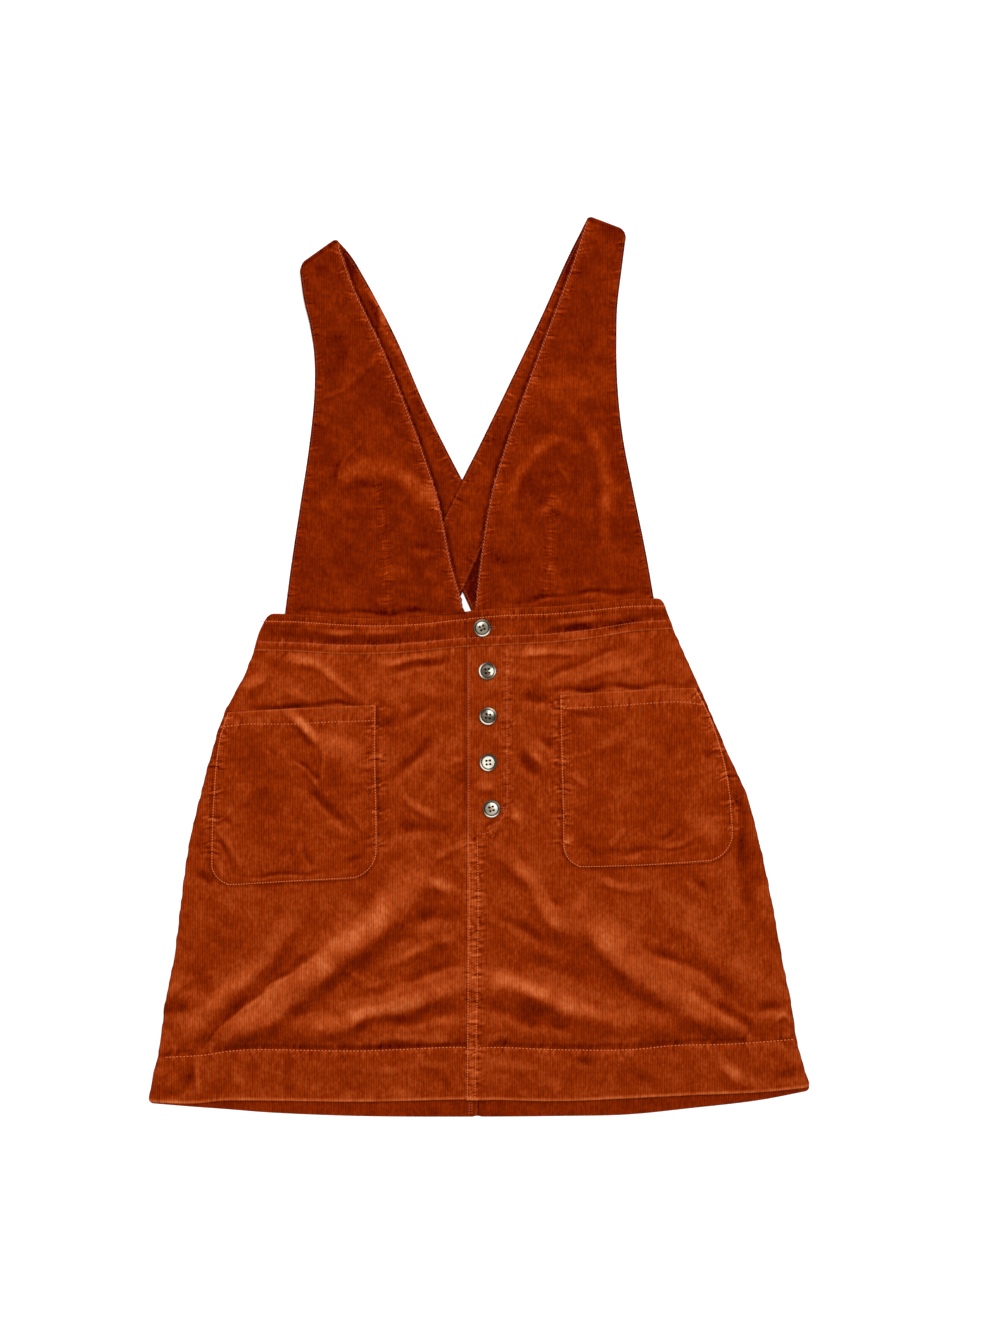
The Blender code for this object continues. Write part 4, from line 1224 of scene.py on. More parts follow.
def read_vectors(items: Any, name: str) -> Array:
    """Read a vector of each item.

    Args:
        items: A mesh's vertices or their normals.
        name: The vector's name.

    Returns:
        One row for each item.
    """
    values = np.empty(len(items) * 3)
    items.foreach_get(name, values)
    return values.reshape(-1, 3)


def put(name: str, data: bpy.types.ID, material: Material | None = None) -> Object:
    """Put an object in the scene.

    Args:
        name: Its name.
        data: Its mesh, light or camera.
        material: A mesh's material.

    Returns:
        The object.
    """
    if material:
        data.materials.clear()
        data.materials.append(material)
    thing = bpy.data.objects.new(name, data)
    bpy.context.scene.collection.objects.link(thing)
    return thing


def make_cloth(name: str, columns: Array, rows: Array, lay: Lay, material: Material) -> Object:
    """Make a cloth wall on a grid.

    Args:
        name: The node it stands for.
        columns: The grid's stops across.
        rows: The grid's stops along.
        lay: Gives the spread of the grid's points.
        material: The piece's material.

    Returns:
        The piece, with a live Solidify modifier.
    """
    sheet = bmesh.new()
    bmesh.ops.create_grid(sheet, x_segments=len(columns) - 1, y_segments=len(rows) - 1, size=0.5)
    mesh = mesh_of(name, sheet)
    grid = read_vectors(mesh.vertices, "co") + 0.5
    spread = lay(*[stops[np.rint(place * (len(stops) - 1)).astype(int)]
                   for place, stops in zip(grid.T, (columns, rows))])
    mesh.vertices.foreach_set("co", (np.column_stack((spread.x, spread.y, spread.z)) * MM).ravel())
    mesh.update()
    normals = read_vectors(mesh.vertex_normals, "vector")
    if normals[:, 2].sum() < 0.0:
        mesh.flip_normals()
        normals = -normals
    mesh.shade_smooth()
    # Painted light and shade from each point's slope, added to its tone before the tone is stored as a point
    # attribute.
    slope = np.clip(normals[:, 0] * PAINTED_LIGHT_FROM[0] + normals[:, 1] * PAINTED_LIGHT_FROM[1], -STEEPEST, STEEPEST)
    tone = np.clip(spread.tone + SLOPE_GAIN * slope, 0.0, 1.0).astype(np.float32)
    mesh.attributes.new("nap", "FLOAT", "POINT").data.foreach_set("value", tone)
    corner = np.empty(len(mesh.loops), int)
    mesh.loops.foreach_get("vertex_index", corner)
    cut = np.column_stack((spread.cut_x, spread.cut_y))[corner] * MM
    mesh.uv_layers.new(name="cut").data.foreach_set("uv", cut.ravel().astype(np.float32))
    piece = put(name + "_cloth", mesh, material)
    thickest = float(spread.wall.max())
    group = piece.vertex_groups.new(name="wall share")
    for index, share in enumerate(spread.wall / thickest):
        group.add([index], float(share), "REPLACE")
    wall = piece.modifiers.new("Wall", "SOLIDIFY")
    wall.thickness, wall.offset, wall.vertex_group = thickest * MM, 1.0, group.name
    return hold(piece, "corduroy", name)


@dataclass
class Panel:
    """A four-sided piece between edge curves, measured from its left and lower edges."""

    left: Edge
    right: Edge
    bottom: Edge
    top: Edge
    width: float
    length: float

    def place(self, m: Array, n: Array) -> tuple[Array, Array]:
        """Find points by their distances from the edges.

        Args:
            m: Distances across from the left edge.
            n: Distances up from the lower edge.

        Returns:
            The points' X and Y.
        """
        x, y = np.zeros_like(m), np.zeros_like(n)
        for _ in range(8):
            x = self.left(y) + m + ease(m / self.width) * (self.right(y) - self.left(y) - self.width)
            y = self.bottom(x) + n + ease(n / self.length) * (self.top(x) - self.bottom(x) - self.length)
        return x, y

    def rims(self, m: Array, n: Array) -> tuple[Array, Array, Array, Array]:
        """Distances to the left, right, lower and upper edges."""
        return m, self.width - m, n, self.length - n

    def flat(self, allowance: float = 0.0) -> Point:
        """Its flat size in metres, with what is turned up at its lower edge."""
        return self.width * MM, (self.length + allowance) * MM


@dataclass
class StitchRun:
    """A row of stitches on the face of the cloth, along a line or at a slant to it in degrees."""

    line: Line
    face: Height
    pitch: float = 2.4
    stitch: float = 1.6
    radius: float = 0.44
    slant: float = 0.0
    sunk: ClassVar[float] = 0.35

    def frames(self) -> tuple[Array, Array, Array, Array]:
        """Walk the line.

        Returns:
            Each stitch's centre and its half length, side and up vectors, in metres.
        """
        x, y, run_x, run_y = self.line.walk(self.pitch)
        turn = radians(self.slant)
        run_x, run_y = (run_x * cos(turn) - run_y * sin(turn),
                        run_x * sin(turn) + run_y * cos(turn))
        half = self.stitch / 2
        start = self.face(x - run_x * half, y - run_y * half)
        end = self.face(x + run_x * half, y + run_y * half)
        along = np.column_stack((run_x, run_y, (end - start) / self.stitch))
        along /= np.linalg.norm(along, axis=1)[:, None]
        side = np.column_stack((-run_y, run_x, np.zeros_like(run_x)))
        centre = np.column_stack((x, y, (start + end) / 2 + self.radius * self.sunk))
        up = np.cross(along, side)
        return centre * MM, along * half * MM, side * self.radius * MM, up * self.radius * MM


def make_stitches(name: str, material: Material, *runs: StitchRun) -> None:
    """Sew rows of stitches, all in one mesh: one round stitch, repeated.

    Args:
        name: The piece's name.
        material: The thread.
        *runs: The rows.
    """
    ball = bmesh.new()
    lying = Matrix.Rotation(pi / 2, 4, "Y")
    bmesh.ops.create_uvsphere(ball, u_segments=6, v_segments=4, radius=1.0, matrix=lying)
    shape = np.array([vert.co[:] for vert in ball.verts])
    faces = [[vert.index for vert in face.verts] for face in ball.faces]
    ball.free()
    centre, *axes = [np.concatenate(parts)[:, None, :] for parts in zip(*(run.frames() for run in runs))]
    along, side, up = [shape[None, :, i:i + 1] * axis for i, axis in enumerate(axes)]
    points = (centre + along + side + up).reshape(-1, 3)
    repeated = [[i + start for i in face] for start in range(0, len(points), len(shape)) for face in faces]
    mesh = bpy.data.meshes.new(name)
    mesh.from_pydata(points.tolist(), [], repeated)
    mesh.shade_smooth()
    hold(put(name, mesh, material))


@dataclass
class Assembly:
    """What every sub-assembly is made with."""

    layers: Layers
    cloths: Cloths


# ---- Skirt ----
@dataclass
class Skirt(Assembly):
    """Two front panels, the right one lapped over the left, and two back panels."""

    pocket_marks: Sequence[Mark]
    left_size: Point = (300.0, 412.0)
    right_size: Point = (290.0, 412.0)
    back_left_size: Point = (296.0, 425.0)
    back_right_size: Point = (301.0, 425.0)
    fill: float = 0.82
    cell: float = 2.0
    back_cell: float = 5.0
    seam_notch: float = 0.8
    tuck: float = 0.45
    waver: float = 0.35
    waver_run: float = 12.0
    tone: float = 0.478
    back_tone: float = 0.37
    seam_light: float = 0.26
    seam_shade: float = -0.30
    seam_stitch: Row = (-10, -152, -9, -201, -10, -294, -11, -388)
    seam_second: Row = (-2, -156, -1, -204, -2, -294, -4, -388)
    placket_edge: Row = (-9.5, 16, -9.5, -60, -9.5, -150)
    placket_hook: Row = (25, 17, 25, -40, 25, -114, 24, -128, 17, -141, 7, -149, -3, -150)
    facing: Row = (24.5, 22, 24.5, -60, 24, -140)
    facing_width: float = 35.0
    hem_left: Row = (-284, -352, -252, -350, -206, -345, -110, -346, -34, -343)
    hem_right: Row = (23, -343, 73, -345, 133, -345, 178, -341, 223, -340, 284, -336)
    hem_seam: Row = (-12, -343, -10, -343)
    hem_thread: Row = (3.2, 2.2, 0.46)
    back_rows: Row = (-9.3, -6.8)

    def __post_init__(self) -> None:
        """Lay the sewn lines and the marks beside them."""
        body = self.layers.body
        self.sewn = [Line(paired(row)) for row in
                     (self.seam_stitch, self.seam_second, self.placket_edge, self.placket_hook)]
        seam, second, _, hook = self.sewn
        hem = Line(paired(self.hem_left + self.hem_right))
        across = np.linspace(-200.0, 180.0, 20)
        waist = Line(list(zip(across, body.waist_bottom(across))))
        self.surface = Surface(self.tone, [
            *[stitched(line) for line in self.sewn],
            stitched(hem, 0.5, 2.8, -0.03),
            # The waist seam's groove, painted a little darker as shade.
            Mark(waist, 2.4, -0.3, -0.06),
            Puckers(waist, 12.0, 0.25, 0.12, spacing=7.0, seed=2),
            Puckers(second, 10.0, 0.5, 0.30, spacing=4.4, seed=3, patchy=0.2),
            Puckers(seam, 9.0, 0.3, 0.18, spacing=4.4, seed=6, patchy=0.3),
            Puckers(hook, 10.0, 0.3, 0.2, spacing=4.8, seed=4, patchy=0.3),
            Puckers(hem, 13.0, 0.35, 0.15, spacing=7.0, seed=5),
            Allowance(Line(paired(self.facing)), self.facing_width, 0.4, left=False, fade=14.0),
            *self.pocket_marks,
        ], seed=11)
        self.back_sewn = [Line([(x, -404.0), (x + 0.3, -330.0)]) for x in self.back_rows]
        self.back_surface = Surface(self.back_tone, [stitched(line, 0.0) for line in self.back_sewn], seed=12)

    def face_left(self, x: Array, y: Array) -> Array:
        """Face of the left front panel."""
        return self.layers.skirt_rest(x, y) + self.layers.hem_wall(x, y) + self.surface.rise(x, y)

    def face_right(self, x: Array, y: Array) -> Array:
        """Face of the right front panel."""
        return self.layers.skirt_over(x, y) + self.layers.hem_wall(x, y) + self.surface.rise(x, y)

    def front(self, name: str, panel: Panel, lap: Lap, *marks: float) -> None:
        """Make a front panel.

        Args:
            name: The node it stands for.
            panel: Its edges.
            lap: Its place at the centre front, where the upper one has a folded edge.
            *marks: Places across that need a finer grid.
        """
        layers, body, over = self.layers, self.layers.body, lap is Lap.OVER
        rest = layers.skirt_over if over else layers.skirt_rest

        def lay(m: Array, n: Array) -> Spread:
            """Spread the grid."""
            x, y = panel.place(m, n)
            left, right, low, _ = panel.rims(m, n)
            rise, tone = self.surface.survey(x, y)
            tone = tone + survey(SKIRT_CREASES, x, y)[1]
            edges, outer = ((left, right, low), right) if over else ((left, low), left)
            # Painted highlight along the hem's edge and along the lapped panel's folded front edge; painted
            # shade along the outer side edge.
            tone += 0.4 * rim_light(low, inset=1.3) - 0.18 * rim_light(outer)
            tone += 0.2 * rim_light(left) if over else 0.0
            uneven = np.clip(self.surface.bumps(x, 1.6 * y), -1.0, 1.5)
            shift = self.waver * fade(outer / self.waver_run) * uneven
            x = x + (-shift if over else shift)
            y = body.cornered(y, outer, low)
            return Spread(x, y, rest(x, y) + rise, layers.hem_wall(x, y) * rolled(*edges), x, y, tone)

        rows = spaced(panel.length, self.cell, 0.0, body.hem_depth, panel.length)
        piece = make_cloth(name, spaced(panel.width, self.cell, *marks), rows, lay, self.cloths.face)

    def back(self, name: str, panel: Panel, seam_right: bool) -> None:
        """Make a back panel, whose inside shows below the front hem and which meets the other at a seam.

        Args:
            name: The node it stands for.
            panel: Its edges.
            seam_right: Whether the seam is at its right.
        """
        def lay(m: Array, n: Array) -> Spread:
            """Spread the grid."""
            x, y = panel.place(m, n)
            _, tone = self.back_surface.survey(x, y)
            outer, seam = (m, panel.width - m) if seam_right else (panel.width - m, m)
            y = self.layers.body.cornered(y, outer, n) + self.seam_notch * bell(seam / 5.0) * bell(n / 9.0)
            # Painted highlight along the lower edge; along the back seam, painted highlight on one panel's
            # side and painted shade on the other's.
            light = self.seam_light if seam_right else self.seam_shade
            tone += 0.12 * rim_light(n) + light * bell(seam / 2.2)
            return Spread(x, y, np.zeros_like(x), self.layers.cloth * rolled(outer, n), x, y, tone)

        rows = spaced(panel.length, self.back_cell, 0.0, 4.0, 8.0, 12.0, panel.length)
        columns = spaced(panel.width, self.back_cell, 0.0, 3.0, panel.width - 3.0, panel.width)
        piece = make_cloth(name, columns, rows, lay, self.cloths.inside)

    def make(self) -> None:
        """Make the four panels and their stitching."""
        body, cloths = self.layers.body, self.cloths
        top, back_top = moved(body.waist_bottom, self.tuck), moved(body.waist_bottom, -self.layers.gap)
        left = Panel(body.side_left, body.underlap, body.hem_front, top, *self.left_size)
        right = Panel(level(body.fold_edge), body.side_right, body.hem_front, top, *self.right_size)
        self.front("skirt_front_left", left, Lap.UNDER, 0.0)
        self.front("skirt_front_right", right, Lap.OVER, 0.0, 1.8, 9.0, 36.0, right.width)
        seam = level(body.centre_back)
        left = Panel(body.side_left, seam, body.hem_back, back_top, *self.back_left_size)
        right = Panel(seam, body.side_right, body.hem_back, back_top, *self.back_right_size)
        self.back("skirt_back_left", left, True)
        self.back("skirt_back_right", right, False)
        seam, second, *placket = [StitchRun(line, self.face_right) for line in self.sewn]
        hem_left = Line(paired(self.hem_left + self.hem_seam[:2]))
        hem_right = Line(paired(self.hem_seam[2:] + self.hem_right))
        make_stitches("skirt_stitching", cloths.thread, seam, second,
                      StitchRun(hem_left, self.face_left, *self.hem_thread),
                      StitchRun(hem_right, self.face_right, *self.hem_thread))
        make_stitches("placket_stitching", cloths.dull_thread, *placket)
        make_stitches("back_seam_stitching", cloths.dull_thread,
                      *[StitchRun(line, level(self.layers.cloth)) for line in self.back_sewn])


# ---- Waistband ----
@dataclass
class FrontBand(Assembly):
    """One front waistband: turned in above and below, and stitched along both seams."""

    name: str
    panel: Panel
    lap: Lap
    creases: Sequence[Mark]
    seed: int
    cell: float = 1.8
    row_cell: float = 1.2
    upper_inset: float = 7.0
    lower_inset: float = 8.0
    corner: float = 5.5
    tone: float = 0.38

    def __post_init__(self) -> None:
        """Lay the two rows of stitches and the strips of turned-in cloth."""
        body, over = self.layers.body, self.lap is Lap.OVER
        self.rest = self.layers.band_over if over else self.layers.band_rest
        reach = (body.fold_edge + 1.8, 168.0) if over else (-198.0, body.fold_edge + 4.0)
        stops = np.linspace(*reach, 16)
        top, low = body.waist_top(stops), body.waist_bottom(stops)
        self.upper, self.lower, above, below = [Line(list(zip(stops, y))) for y in (
            top - self.upper_inset, low + self.lower_inset, top, low)]
        self.surface = Surface(self.tone, [
            stitched(self.upper, 0.45), stitched(self.lower, 0.4),
            Allowance(above, 11.0, 0.5, left=False), Allowance(below, 9.0, 0.35, left=True),
            Puckers(self.upper, 7.0, 0.22, 0.2, spacing=4.6, seed=self.seed),
            Puckers(self.lower, 7.0, 0.2, 0.2, spacing=5.0, seed=self.seed + 1),
            *self.creases,
        ], seed=self.seed)

    def face(self, x: Array, y: Array) -> Array:
        """The band's face."""
        return self.rest(x, y) + self.layers.band + self.surface.rise(x, y)

    def lay(self, m: Array, n: Array) -> Spread:
        """Spread the grid."""
        over = self.lap is Lap.OVER
        x, y = self.panel.place(m, n)
        left, right, low, high = self.panel.rims(m, n)
        edges = (left, right, low, high) if over else (left, low, high)
        rise, tone = self.surface.survey(x, y)
        # Painted highlight along the band's upper and lower edges and the lapped band's left end.
        end = 0.18 * rim_light(left) if over else 0.0
        tone += 0.2 * rim_light(high) + 0.38 * rim_light(low, inset=0.5) + end
        outer, inward = (right, -1.0) if over else (left, 1.0)
        x = x + inward * drawn_in(self.corner, high) * fade(outer / self.layers.body.corner_run)
        return Spread(x, y, self.rest(x, y) + rise, self.layers.band * rolled(*edges), x, y, tone)

    def make(self) -> None:
        """Make the band and its stitching."""
        panel = self.panel
        rows = spaced(panel.length, self.row_cell, 0.0, panel.length)
        columns = spaced(panel.width, self.cell, 0.0, panel.width)
        piece = make_cloth(self.name, columns, rows, self.lay, self.cloths.face)
        panel.flat()
        for row, line, thread in (("", self.upper, self.cloths.thread),
                                  ("_lower", self.lower, self.cloths.dull_thread)):
            make_stitches(self.name + row + "_stitching", thread, StitchRun(line, self.face))


@dataclass
class Waistband(Assembly):
    """Two front bands, the right one lapped over the left, and one at the back."""

    left_size: Point = (219.0, 33.0)
    right_size: Point = (184.0, 32.0)
    back_size: Point = (373.0, 33.0)
    back_cell: float = 3.0
    back_corner: float = 5.9
    back_tone: float = 0.38

    def panel(self, left: Edge, right: Edge, size: Point) -> Panel:
        """A band between two sides."""
        return Panel(left, right, self.layers.body.waist_bottom, self.layers.body.waist_top, *size)

    def lay_back(self, m: Array, n: Array) -> Spread:
        """Spread the back band's grid."""
        x, y = self.back.place(m, n)
        to_left, to_right, low, high = self.back.rims(m, n)
        run = self.layers.body.corner_run
        x = x + drawn_in(self.back_corner, high) * (fade(to_left / run) - fade(to_right / run))
        wall = self.layers.double * rolled(to_left, to_right, low, high)
        return Spread(x, y, np.zeros_like(x), wall, x, y, np.full_like(x, self.back_tone))

    def make(self) -> None:
        """Make the three bands."""
        body = self.layers.body
        left = self.panel(body.side_left, level(body.placket_under), self.left_size)
        right = self.panel(level(body.fold_edge), body.side_right, self.right_size)
        self.back = self.panel(body.side_left, body.side_right, self.back_size)
        fronts = (("left", left, Lap.UNDER, BAND_LEFT_CREASES, 21),
                  ("right", right, Lap.OVER, BAND_RIGHT_CREASES, 24))
        for side, *front in fronts:
            FrontBand(self.layers, self.cloths, "waistband_front_" + side, *front).make()
        columns, rows = [spaced(length, self.back_cell, 0.0, length) for length in self.back_size]
        piece = make_cloth("waistband_back", columns, rows, self.lay_back, self.cloths.inside)
        self.back.flat()


# ---- Bibs and back straps ----
@dataclass
class Bib(Assembly):
    """A bib from the waistband over the shoulder fold to the back strap's seam."""

    name: str
    route: StrapRoute
    strap: StrapRoute
    rest: Height
    dart: Row
    creases: Sequence[Mark]
    seed: int
    rope_slant: float
    edge_lift: float = 0.0
    cell: float = 1.7
    row_cell: float = 1.15
    mean_width: float = 105.0
    cut_width: float = 0.165  # in metres
    fill: float = 0.62
    tail: float = 11.0
    tuck: float = 0.4
    seam_reach: float = 30.0
    seam_run: float = 40.0
    neck_inset: float = 1.5
    arm_inset: float = 2.2
    outer_round: float = 8.0
    inner_round: float = 3.8
    fold_reach: float = 3.15
    calm_run: float = 8.0
    scallop: float = 0.3
    scallop_waves: Point = (4.6, 9.7)
    foot_round: float = 2.8
    rope: Row = (2.9, 3.1, 0.55)
    arm_thread: float = 0.36
    tone: float = 0.27

    def __post_init__(self) -> None:
        """Find the fold's direction, the lower seam and the sewn lines."""
        arm_x, arm_y, neck_x, neck_y = [float(end) for end in self.route.ends(np.array(self.route.length))]
        self.fold_at = Vector((arm_x, arm_y))
        across = Vector((neck_x - arm_x, neck_y - arm_y)).normalized()
        self.outward = Vector((-across.y, across.x))
        if self.outward.y < 0.0:
            self.outward.negate()
        self.neck_line = neck = self.route.edge(True, self.neck_inset, start=9.0, end=4.0)
        self.arm_line = arm = self.route.edge(False, self.arm_inset, start=9.0, end=9.0)
        dart = Line(paired(self.dart))
        neck_right = neck_x > arm_x
        self.surface = Surface(self.tone, [
            # Painted tones along the sewn rows: shade in the neck and armhole rows' grooves, a lighter dart
            # row, and a painted highlight beside the neck edge.
            stitched(neck, 0.3, 1.6, -0.22), stitched(arm, 0.35, 2.0, -0.06), stitched(dart, 0.4, 1.8, 0.10),
            Mark(neck, 7.0, 0.0, 0.12),
            Allowance(neck, 7.0, 0.3, left=neck_right), Allowance(arm, 6.0, 0.3, left=not neck_right),
            Puckers(neck, 13.0, 0.32, 0.32, spacing=3.9, seed=self.seed, slant=-0.45 if neck_right else 0.45),
            Puckers(arm, 9.0, 0.28, 0.2, spacing=5.0, seed=self.seed + 1),
            Puckers(dart, 9.0, 0.16, 0.2, spacing=3.2, seed=self.seed + 2, patchy=0.25),
            Crease(neck, 30.0, self.edge_lift),
            *self.creases,
        ], seed=self.seed)

    def upper(self, x: Array, y: Array) -> tuple[Array, Array]:
        """Height of the bib's inner side, with the lift at the fold and its own relief, and its tone."""
        layers = self.layers
        back = np.abs((x - self.fold_at.x) * self.outward.x + (y - self.fold_at.y) * self.outward.y)
        lift = layers.fold_lift * fade(back / layers.fold_lift_run)
        rise, tone = self.surface.survey(x, y)
        return np.maximum(self.rest(x, y) + lift + ease(back / self.calm_run) * rise, 0.0), tone

    def face(self, x: Array, y: Array) -> Array:
        """The bib's face."""
        return self.upper(x, y)[0] + self.layers.double

    def lay(self, u: Array, v: Array) -> Spread:
        """Spread the grid: v runs up the front, then 0 to 1 round the fold, then down the back."""
        double, length, outward = self.layers.double, self.route.length, self.outward
        on_front, on_back = v <= length, v > length + 1.0
        start = self.route.crossing(u, moved(self.layers.body.waist_top, -self.tuck), 0.0, self.seam_reach)
        along = np.minimum(v, length)
        along = along + start * fade(along / self.seam_run)
        behind = np.maximum(v - length - 1.0, 0.0)
        turn = pi * np.clip(v - length, 0.0, 1.0)
        width = np.where(on_back, self.strap.width(behind), self.route.width(along))
        to_fold = length - along + behind + self.fold_reach * (1.0 - np.sin(turn))
        arm, neck = [drawn_in(radius, to_fold) / width for radius in (self.outer_round, self.inner_round)]
        short, long = [tau * along / wave for wave in self.scallop_waves]
        drawn = np.sin(short) + np.sin(long + self.seed)
        drawn = self.scallop * drawn * ease((length - v) / 12.0) - drawn_in(self.foot_round, v)
        neck = neck + drawn / width
        share = arm + u * (1.0 - arm - neck)
        x, y = self.route.across(share, along)
        back_x, back_y = self.strap.across(share, behind)
        upper, tone = self.upper(x, y)
        radius = (upper - double) / 2.0
        out = np.where(on_front, 0.0, radius * np.sin(turn))
        cut = radius * turn + behind
        z = np.where(on_front, upper, double + radius * (1.0 + np.cos(turn)))
        wall = double * rolled(u * width, (1.0 - u) * width, v + 0.9)
        # Painted highlight along the neck edge, painted shade along the armhole edge and across the shoulder
        # fold.
        tone += 0.06 * rim_light((1.0 - u) * width) - 0.28 * rim_light(u * width)
        tone -= 0.2 * bell((v - length) / 3.0)
        return Spread(np.where(on_back, back_x, x + outward.x * out),
                      np.where(on_back, back_y, y + outward.y * out),
                      np.where(on_back, double, z), wall, x + outward.x * cut, y + outward.y * cut, tone)

    def make(self) -> None:
        """Make the bib and its stitching."""
        mean, length = self.mean_width, self.route.length
        columns = spaced(mean, self.cell, 0.0, 2.5, mean - 2.5, mean) / mean
        rows = np.concatenate((spaced(length, self.row_cell, 0.0, length - 3.0, length),
                               length + np.linspace(0.0, 1.0, 11)[1:],
                               length + 1.0 + spaced(self.tail, 2.0)[1:]))
        piece = make_cloth(self.name, columns, rows, self.lay, self.cloths.bib)
        make_stitches(self.name + "_neck_stitching", self.cloths.rope,
                      StitchRun(self.neck_line, self.face, *self.rope, slant=self.rope_slant))
        make_stitches(self.name + "_arm_stitching", self.cloths.strap_thread,
                      StitchRun(self.arm_line, self.face, radius=self.arm_thread))


@dataclass
class BackStrap(Assembly):
    """A back strap from its seam behind the shoulder fold to the back waistband."""

    name: str
    route: StrapRoute
    rest: Height
    creases: Sequence[Mark]
    seed: int
    cell: float = 1.8
    mean_width: float = 42.0
    cut_width: float = 0.056  # in metres
    fill: float = 0.76
    tail: float = 11.0
    tuck: float = 0.3
    seam_run: float = 40.0
    stitch_inset: float = 2.4
    calm: float = 0.3
    tone: float = 0.30

    def __post_init__(self) -> None:
        """Lay the two rows of edge stitching."""
        self.edges = [self.route.edge(neck, self.stitch_inset, self.tail + 1.0, 8.0)
                      for neck in (False, True)]
        marks = [stitched(line, 0.3, 2.0) for line in self.edges]
        marks += [Puckers(line, 12.0, 0.3, 0.26, 4.0, self.seed + i) for i, line in enumerate(self.edges)]
        # Painted shadow on the strap beside each bib's neck edge, which lies over it.
        marks += [Mark(bib.edge(True, -1.2, 15.0), 2.4, 0.0, -0.32) for bib in (BIB_LEFT, BIB_RIGHT)]
        self.surface = Surface(self.tone, [*marks, *self.creases], seed=self.seed)

    def fine(self, x: Array, y: Array) -> tuple[Array, Array]:
        """Its relief, kept small above its own rest, and its tone."""
        rise, tone = self.surface.survey(x, y)
        return np.clip(rise, -self.calm, self.calm), tone

    def face(self, x: Array, y: Array) -> Array:
        """The strap's face."""
        return self.rest(x, y) + self.layers.double + self.fine(x, y)[0]

    def lay(self, u: Array, v: Array) -> Spread:
        """Spread the grid: v runs down the back."""
        length, start = self.route.length, self.route.length - self.seam_run
        end = self.route.crossing(u, moved(self.layers.body.waist_top, -self.tuck), start, length)
        v = v - (length - end) * ease((v - start) / self.seam_run)
        x, y = self.route.across(u, v)
        width = self.route.width(v)
        rise, tone = self.fine(x, y)
        wall = (self.layers.double + rise) * rolled(u * width, (1.0 - u) * width)
        # Painted shade along both edges of the strap.
        tone -= 0.26 * rim_light(u * width, (1.0 - u) * width)
        return Spread(x, y, self.rest(x, y), wall, x, y, tone)

    def make(self) -> None:
        """Make the strap and its stitching."""
        mean, start = self.mean_width, self.tail + self.layers.gap
        whole = self.route.length - start
        rows = start + spaced(whole, self.cell, 0.0, whole)
        columns = spaced(mean, self.cell, 0.0, mean) / mean
        piece = make_cloth(self.name, columns, rows, self.lay, self.cloths.bib)
        make_stitches(self.name + "_stitching", self.cloths.strap_thread,
                      *[StitchRun(line, self.face) for line in self.edges])


